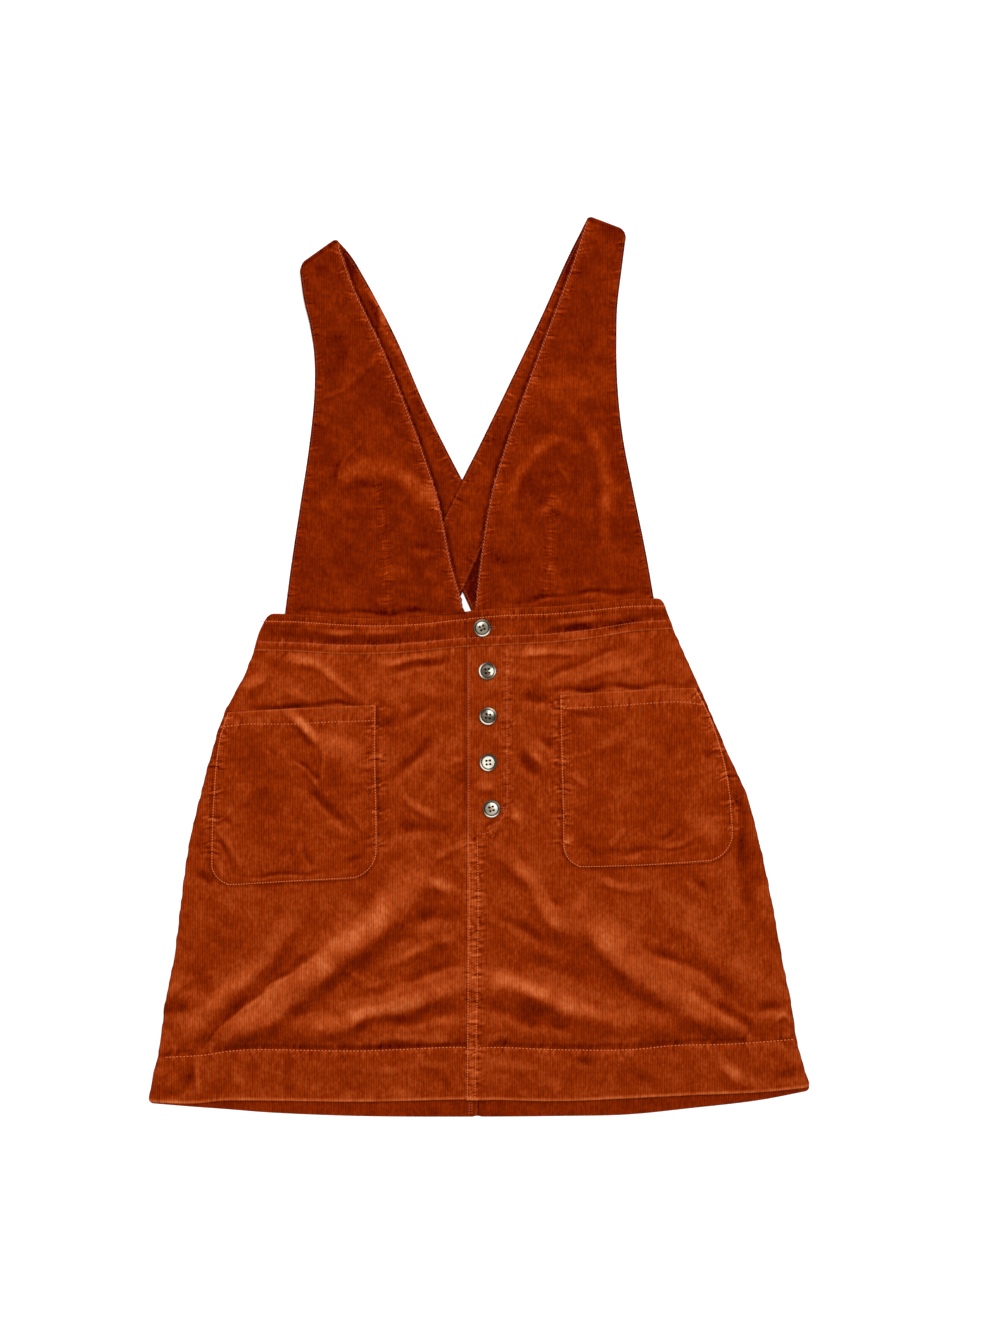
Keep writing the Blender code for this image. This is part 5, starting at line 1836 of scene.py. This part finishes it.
# ---- Patch pockets ----
@dataclass
class PatchPocket(Assembly):
    """A patch pocket with rounded lower corners and a hemmed mouth."""

    name: str
    rest: Height
    carrier: str
    sides: tuple[Row, ...]  # y, left, right
    edges: tuple[Row, ...]  # x, top, bottom
    mouth: Row
    creases: Sequence[Mark]
    width: float
    seed: int
    length: float = 157.0
    corners: Point = (20.0, 26.0)
    wall: float = 1.4
    inset: float = 0.9
    shadow_inset: float = -1.4
    least_rise: float = -0.3
    cell: float = 1.8
    tone: float = 0.445

    def __post_init__(self) -> None:
        """Make the edges and lay the sewn lines."""
        self.left, self.right = curves(self.sides)
        self.top, self.base = curves(self.edges)
        self.panel = Panel(self.left, self.right, self.bottom, self.top, self.width, self.length)
        self.mouth_line = mouth = Line(paired(self.mouth))
        self.edge_line = edge = self.border(self.inset)
        self.surface = Surface(self.tone, [
            stitched(edge, 0.3, 2.0), stitched(mouth, 0.4),
            Allowance(mouth, 18.0, 0.5, 0.08, left=True, edge=1.2), Allowance(edge, 7.0, 0.3, left=True),
            *self.side_puckers(self.inset, 13.0, 0.45),
            Puckers(mouth, 8.0, 0.25, 0.16, spacing=6.0, seed=self.seed + 1),
            *self.creases,
        ], seed=self.seed)

    def bottom(self, x: Array) -> Array:
        """The lower edge, with its round corners."""
        y, (inner, outer) = self.base(x), self.corners
        return y + drawn_in(inner, x - self.left(y)) + drawn_in(outer, self.right(y) - x)

    def side_runs(self, inset: float) -> list[list[Point]]:
        """Walk down both sides as far as the round corners.

        Args:
            inset: The distance from the edge.

        Returns:
            The points on the left and on the right.
        """
        runs = []
        for side, sign, corner in zip((self.left, self.right), (1.0, -1.0), self.corners):
            x_end = side(self.base(np.array(0.0)))
            heights = np.linspace(float(self.top(x_end)) - 1.0, float(self.base(x_end)) + corner, 7)
            runs.append(list(zip(side(heights) + sign * inset, heights)))
        return runs

    def side_puckers(self, inset: float, reach: float, height: float) -> list[Puckers]:
        """The puckers along both sides, at an inset from the edge."""
        return [Puckers(Line(run), reach, height, 0.34, 4.8, self.seed) for run in self.side_runs(inset)]

    def border(self, inset: float) -> Line:
        """A line down one side, round the bottom and up the other.

        Args:
            inset: Its distance from the edge.

        Returns:
            The line.
        """
        turned = []
        for run, sign, corner in zip(self.side_runs(inset), (1.0, -1.0), self.corners):
            radius = corner - inset
            x, y = run[-1][0] + sign * radius, run[-1][1]
            turned.append(run + [(x - sign * radius * cos(a), y - radius * sin(a))
                                 for a in np.linspace(0.0, pi / 2, 6)[1:]])
        left, right = turned
        middle = (left[-1][0] + right[-1][0]) / 2
        return Line(left + [(middle, float(self.base(np.array(middle))) + inset)] + right[::-1])

    def marks_below(self) -> list[Mark]:
        """The shadow and puckers that its edge leaves on the skirt."""
        beside = Mark(self.border(self.shadow_inset), 2.4, 0.0, -0.13)
        return [beside, *self.side_puckers(self.shadow_inset, 12.0, 0.3)]

    def under(self, x: Array, y: Array) -> tuple[Array, Array]:
        """Height of the pocket's underside, moved out from the panel, and its tone."""
        step, rest = 0.5, self.rest
        slope_x = rest(x + step, y) - rest(x - step, y)
        slope_y = rest(x, y + step) - rest(x, y - step)
        steep = np.sqrt(1.0 + slope_x ** 2 + slope_y ** 2)
        rise, tone = self.surface.survey(x, y)
        lifted = (self.layers.cloth + self.layers.pocket_gap) * steep
        return rest(x, y) + lifted + np.maximum(rise, self.least_rise), tone

    def face(self, x: Array, y: Array) -> Array:
        """The pocket's face."""
        return self.under(x, y)[0] + self.wall

    def lay(self, m: Array, n: Array) -> Spread:
        """Spread the grid."""
        x, y = self.panel.place(m, n)
        left, right, _, high = self.panel.rims(m, n)
        edges = (left, right, y - self.bottom(x), high)
        under, tone = self.under(x, y)
        # Painted highlight along the pocket's edges.
        return Spread(x, y, under, self.wall * rolled(*edges), x, y, tone + 0.2 * rim_light(*edges))

    def make(self) -> None:
        """Make the pocket and its stitching."""
        columns = spaced(self.width, self.cell, 0.0, 2.0, self.width - 2.0, self.width)
        rows = spaced(self.length, self.cell, 0.0, 2.0, self.length)
        piece = make_cloth(self.name, columns, rows, self.lay, self.cloths.face)
        self.panel.flat()
        make_stitches(self.name + "_stitching", self.cloths.thread,
                      StitchRun(self.edge_line, self.face), StitchRun(self.mouth_line, self.face, 3.0))


# ---- Buttons ----
class ButtonPlace(NamedTuple):
    """Where a button sits, how it turns and tips, and how its horn is toned, in degrees: the middle's tone,
    the strength and direction of a painted highlight sector over it, and the direction of a pale rim arc,
    partly painted highlight.
    """

    x: float
    y: float
    turn: float
    tip: float
    toward: float
    tone: float
    glint: float
    glint_toward: float
    rim_toward: float


@dataclass
class Buttonhole:
    """The sewn slot that a button comes through."""

    number: int
    spot: ButtonPlace
    face: Height
    cloths: Cloths
    reach_left: float = 8.0
    reach_right: float = 11.2
    slot: float = 1.0
    bar: float = 1.2
    side_thread: Row = (0.8, 1.1, 0.24)
    bar_thread: Row = (0.7, 1.0, 0.26)
    slit_width: float = 0.6

    def make(self) -> None:
        """Sew both sides and the end, and lay a near-black bar between them as painted shade in the slit."""
        x, y, face = self.spot.x, self.spot.y, self.face
        start, end = x - self.reach_left, x + self.reach_right
        sides = [Line([(place, y + side) for place in (start, x, end)]) for side in (-self.slot, self.slot)]
        bar = Line([(end + 0.1, y - self.bar), (end + 0.1, y + self.bar)])
        make_stitches(f"buttonhole_{self.number}_stitching", self.cloths.dull_thread,
                      *[StitchRun(side, face, *self.side_thread, slant=90.0) for side in sides],
                      StitchRun(bar, face, *self.bar_thread, slant=90.0))
        # The slit: a near-black bar that paints the shade where the cut opens.
        slit = Line([(start, y), (end - 1.0, y)])
        make_stitches(f"buttonhole_{self.number}_slit", self.cloths.dark,
                      StitchRun(slit, face, 30.0, end - start - 1.0, self.slit_width))


@dataclass
class Button:
    """A four-hole button with a pale raised rim, a dark groove and a domed middle."""

    number: int
    spot: ButtonPlace
    rest: float
    cloths: Cloths
    lift: float = 0.25
    hole_radius: float = 1.1
    hole_offset: float = 2.35
    segments: int = 56
    sharp: float = 50.0
    groove: Point = (5.6, 6.35)
    side_height: float = 2.3
    profile: Row = (  # radius and height in turn
        0, 2.5, 1.3, 2.47, 2.6, 2.4, 4.4, 2.15, 5.4, 1.85, 5.75, 1.6, 6.1, 1.68, 6.35, 2.4, 6.6, 2.9, 7, 3.08,
        7.35, 2.9, 7.65, 2.4, 7.9, 1.85, 7.75, 1.3, 6.6, 0.5, 4, 0.05, 0, 0)
    strand_height: float = 2.35
    strand_shift: float = 0.22
    strand_size: Point = (0.2, 0.16)
    plug_height: float = 1.0
    plug_size: Row = (1.15, 1.15, 0.4)

    def matrix(self) -> Matrix:
        """Find the button's place, tip and turn.

        Returns:
            The matrix, in metres.
        """
        where = Matrix.Translation(Vector((self.spot.x, self.spot.y, self.rest + self.lift)) * MM)
        toward = radians(self.spot.toward)
        axis = Vector((-sin(toward), cos(toward), 0.0))
        tip = Matrix.Rotation(radians(self.spot.tip), 4, axis)
        return where @ tip @ Matrix.Rotation(radians(self.spot.turn), 4, "Z")

    def holes(self) -> list[Vector]:
        """The four holes' centres."""
        spots = [tau * corner / 4 for corner in range(4)]
        return [Vector((cos(a), sin(a), 0.0)) * self.hole_offset for a in spots]

    def turned(self) -> Mesh:
        """Turn the body and drill its holes.

        Returns:
            The body's mesh.
        """
        lathe = bmesh.new()
        verts = [lathe.verts.new(Vector((radius, 0.0, z)) * MM) for radius, z in paired(self.profile)]
        edges = [lathe.edges.new(pair) for pair in zip(verts, verts[1:])]
        bmesh.ops.spin(lathe, geom=verts + edges, cent=(0, 0, 0), axis=(0, 0, 1), dvec=(0, 0, 0),
                       angle=tau, steps=self.segments, use_merge=True, use_duplicate=False)
        bmesh.ops.remove_doubles(lathe, verts=lathe.verts, dist=1e-6)
        bmesh.ops.recalc_face_normals(lathe, faces=lathe.faces)
        drill, radius = bmesh.new(), self.hole_radius * MM
        for hole in self.holes():
            bmesh.ops.create_cone(drill, cap_ends=True, segments=14, radius1=radius, radius2=radius,
                                  depth=8.0 * MM, matrix=Matrix.Translation(hole * MM))
        blank, cutter = [put(name, mesh_of(name, shape))
                         for name, shape in (("button body", lathe), ("drill", drill))]
        cut = blank.modifiers.new("Holes", "BOOLEAN")
        cut.operation, cut.object = "DIFFERENCE", cutter
        drilled = bpy.data.meshes.new_from_object(blank.evaluated_get(bpy.context.evaluated_depsgraph_get()))
        for tool in (blank, cutter):
            bpy.data.objects.remove(tool)
        return drilled

    def paint_tone_and_glints(self, mesh: Mesh) -> None:
        """Paint the horn's tone: a painted highlight as a pale sector over the middle, a pale arc on the rim
        that is horn colour and painted highlight, a dark groove that is horn colour and painted shade, and
        painted shade on the holes' walls and the outer side.

        Args:
            mesh: The body's mesh.
        """
        spot = self.spot
        x, y, z = read_vectors(mesh.vertices, "co").T / MM
        radius, angle = np.hypot(x, y), np.arctan2(y, x) + radians(spot.turn)
        # A painted highlight sector over the middle, which also lights the rim, and a pale arc on the rim
        # that is partly painted highlight.
        glint, arc = [np.maximum(np.cos(angle - radians(toward)), 0.0) ** power
                     for toward, power in ((spot.glint_toward, 3), (spot.rim_toward, 1.5))]
        glint = spot.glint * glint
        # Painted shade: the holes' walls and the button's outer side are near black.
        middle = np.where(z < 1.5, 0.03, spot.tone + glint * np.clip(radius / 2.5, 0.0, 1.0))
        rim = np.where(z < self.side_height, 0.04, 0.30 + 0.75 * arc + 0.6 * glint)
        inner, outer = self.groove
        tone = np.where(radius < inner, middle, np.where(radius < outer, 0.08 + 0.4 * glint, rim))
        mesh.attributes.new("rim", "FLOAT", "POINT").data.foreach_set("value", tone.astype(np.float32))

    def thread(self) -> Mesh:
        """Lay two pairs of strands between the holes, and a dark plug of thread in each hole, which also
        stands in for the shade down the hole as painted shade.

        Returns:
            The thread's mesh.
        """
        sewn, holes = bmesh.new(), self.holes()
        lie = Matrix.Rotation(pi / 2, 4, "Y")
        for a, b in (holes[:2], holes[2:]):
            turn = (b - a).to_track_quat("X", "Z").to_matrix().to_4x4()
            place = Matrix.Translation(((a + b) / 2 + Vector((0, 0, self.strand_height))) * MM)
            size = Matrix.Diagonal(((b - a).length / 2 * MM, *[part * MM for part in self.strand_size], 1.0))
            for shift in (-self.strand_shift, self.strand_shift):
                side = turn @ Matrix.Translation(Vector((0.0, shift, 0.0)) * MM)
                bmesh.ops.create_uvsphere(sewn, u_segments=8, v_segments=8, radius=1.0,
                                          matrix=place @ side @ size @ lie)
        # The dark plugs: thread down each hole, and painted shade that fills the hole.
        for hole in holes:
            plug = Matrix.Translation((hole + Vector((0, 0, self.plug_height))) * MM)
            size = Matrix.Diagonal((*[part * MM for part in self.plug_size], 1.0))
            bmesh.ops.create_uvsphere(sewn, u_segments=10, v_segments=6, radius=1.0, matrix=plug @ size)
        return mesh_of("button_thread", sewn)

    def make(self) -> None:
        """Make the button and its thread."""
        horn, thread = self.turned(), self.thread()
        self.paint_tone_and_glints(horn)
        for mesh in (horn, thread):
            mesh.transform(self.matrix())
            mesh.shade_smooth()
        horn.set_sharp_from_angle(angle=radians(self.sharp))
        name = f"button_{self.number}"
        hold(put(name + "_horn", horn, self.cloths.horn), "horn_button", name)
        hold(put(name + "_thread", thread, self.cloths.dark))


@dataclass
class Buttons(Assembly):
    """The five buttons: the first on the waistband, the others down the placket."""

    radius: float = 7.9
    hole_lifts: Point = (0.55, 0.25)
    places: tuple[ButtonPlace, ...] = (
        ButtonPlace(2.7, 35.7, 68, 4.0, 200, 0.56, 0.42, 120, -75),
        ButtonPlace(7.1, -3.2, 52, 5.0, 20, 0.38, 0.80, -5, 180),
        ButtonPlace(7.8, -43.9, 35, 4.0, 60, 0.34, 0.85, 55, -120),
        ButtonPlace(8.1, -85.5, 50, 2.0, 80, 0.80, 0.10, 240, -130),
        ButtonPlace(10.9, -127.2, 60, 3.0, 45, 0.70, 0.35, 55, -90))

    def make(self) -> None:
        """Set each button on its layer, and sew its buttonhole."""
        layers = self.layers
        rim = np.linspace(0.0, tau, 25)
        on_band = (layers.band_over, layers.band, self.hole_lifts[0])
        on_skirt = (layers.skirt_over, layers.cloth, self.hole_lifts[1])
        for number, spot in enumerate(self.places, start=1):
            below, wall, lift = on_band if number == 1 else on_skirt
            around = below(spot.x + self.radius * np.cos(rim), spot.y + self.radius * np.sin(rim))
            face = float(around.max()) + wall
            Button(number, spot, face + layers.gap, self.cloths).make()
            Buttonhole(number, spot, level(face + lift), self.cloths).make()


# ---- Studio ----
@dataclass
class Studio:
    """A plain pale floor, soft light and a camera straight above."""

    view: Row = (18.6, 0.9, 1206.4)
    lens: float = 50.0
    sensor: float = 36.0
    floor_size: float = 6.0
    floor_white: Colour = (0.93, 0.93, 0.93)
    floor_glow: float = 0.3
    lamps: tuple[tuple[str, Colour, float, float], ...] = (
        ("key", (0.6, 1.3, 2.3), 1.2, 48.0), ("fill", (-1.6, -0.6, 2.0), 1.8, 16.0))
    white: Colour = (1.0, 1.0, 1.0)
    room: float = 0.55

    def make_floor(self) -> None:
        """Lay a wide white floor."""
        plane = bmesh.new()
        bmesh.ops.create_grid(plane, x_segments=1, y_segments=1, size=self.floor_size)
        material, nodes, shader = new_material("floor")
        nodes.fill(shader, Base_Color=self.floor_white, Roughness=0.9, Specular_IOR_Level=0.1,
                   Emission_Color=self.white, Emission_Strength=self.floor_glow)
        put("floor", mesh_of("floor", plane), material)

    def make(self) -> None:
        """Set the floor, the soft lights that are aimed at the garment, the surroundings and the camera."""
        self.make_floor()
        for name, where, size, power in self.lamps:
            light = bpy.data.lights.new(name, "AREA")
            light.shape, light.size, light.energy = "SQUARE", size, power
            lamp = put(name, light)
            lamp.location, lamp.rotation_euler = where, (-Vector(where)).to_track_quat("-Z", "Y").to_euler()
        scene = bpy.context.scene
        scene.world = bpy.data.worlds.new("room")
        scene.world.use_nodes = True
        tree = scene.world.node_tree
        NodeTree(tree).fill(tree.nodes["Background"], Color=self.white, Strength=self.room)
        camera = bpy.data.cameras.new("camera")
        camera.lens, camera.sensor_width, camera.sensor_fit = self.lens, self.sensor, "AUTO"
        scene.camera = put("camera", camera)
        x, y, height = self.view
        scene.camera.location = (x * MM, y * MM, height * MM * self.lens / self.sensor)
        scene.view_settings.view_transform, scene.view_settings.look = "Standard", "None"


# ---- The whole garment ----
def main() -> None:
    """Load the frame, dress it and set the studio."""
    logging.basicConfig(level=logging.INFO, format="%(name)s %(message)s")
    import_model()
    made_with = layers, cloths = Layers(Body()), Cloths()
    Studio().make()
    pockets = [
        PatchPocket(
            *made_with, "pocket_left", layers.skirt_rest, "skirt_front_left",
            sides=((-33, -224, -93.3), (-55, -232.5, -93.6), (-75, -236.5, -93.8), (-125, -240.6, -92.5),
                   (-197, -242.5, -92.3)),
            edges=((-243, -41.5, -196.5), (-182, -37.8, -193.8), (-92, -33.6, -190.5)),
            mouth=(-234, -54, -208, -51, -170, -51, -132, -49, -95, -48),
            creases=POCKET_LEFT_CREASES, width=147.0, seed=61),
        PatchPocket(
            *made_with, "pocket_right", layers.skirt_over, "skirt_front_right",
            sides=((-18, 72.5, 195), (-45, 73, 208.5), (-94, 74, 223.3), (-142, 75.2, 228.5),
                   (-180, 75.6, 229.5)),
            edges=((72, -24.9, -180.5), (156, -19.5, -178.5), (231, -18, -175)),
            mouth=(75, -37, 118, -35, 156, -32, 181, -31, 204, -34),
            creases=POCKET_RIGHT_CREASES, width=150.0, seed=65),
    ]
    Skirt(*made_with, [mark for pocket in pockets for mark in pocket.marks_below()]).make()
    Waistband(*made_with).make()
    Bib(*made_with, "bib_left", BIB_LEFT, STRAP_LEFT, layers.bib_rest,
        dart=(-82, 50, -85, 104, -89, 141, -92, 167), creases=BIB_LEFT_CREASES, seed=31,
        rope_slant=-24.0, edge_lift=2.0).make()
    Bib(*made_with, "bib_right", BIB_RIGHT, STRAP_RIGHT, layers.bib_over,
        dart=(61, 60, 63, 98, 65, 133, 66, 167), creases=BIB_RIGHT_CREASES, seed=41,
        rope_slant=26.0).make()
    for side, route, rest, creases, seed in (
            ("left", STRAP_LEFT, level(0.0), STRAP_LEFT_CREASES, 51),
            ("right", STRAP_RIGHT, layers.strap_over, STRAP_RIGHT_CREASES, 55)):
        BackStrap(*made_with, "strap_back_" + side, route, rest, creases, seed).make()
    for pocket in pockets:
        pocket.make()
    Buttons(*made_with).make()


if __name__ == "__main__":
    main()
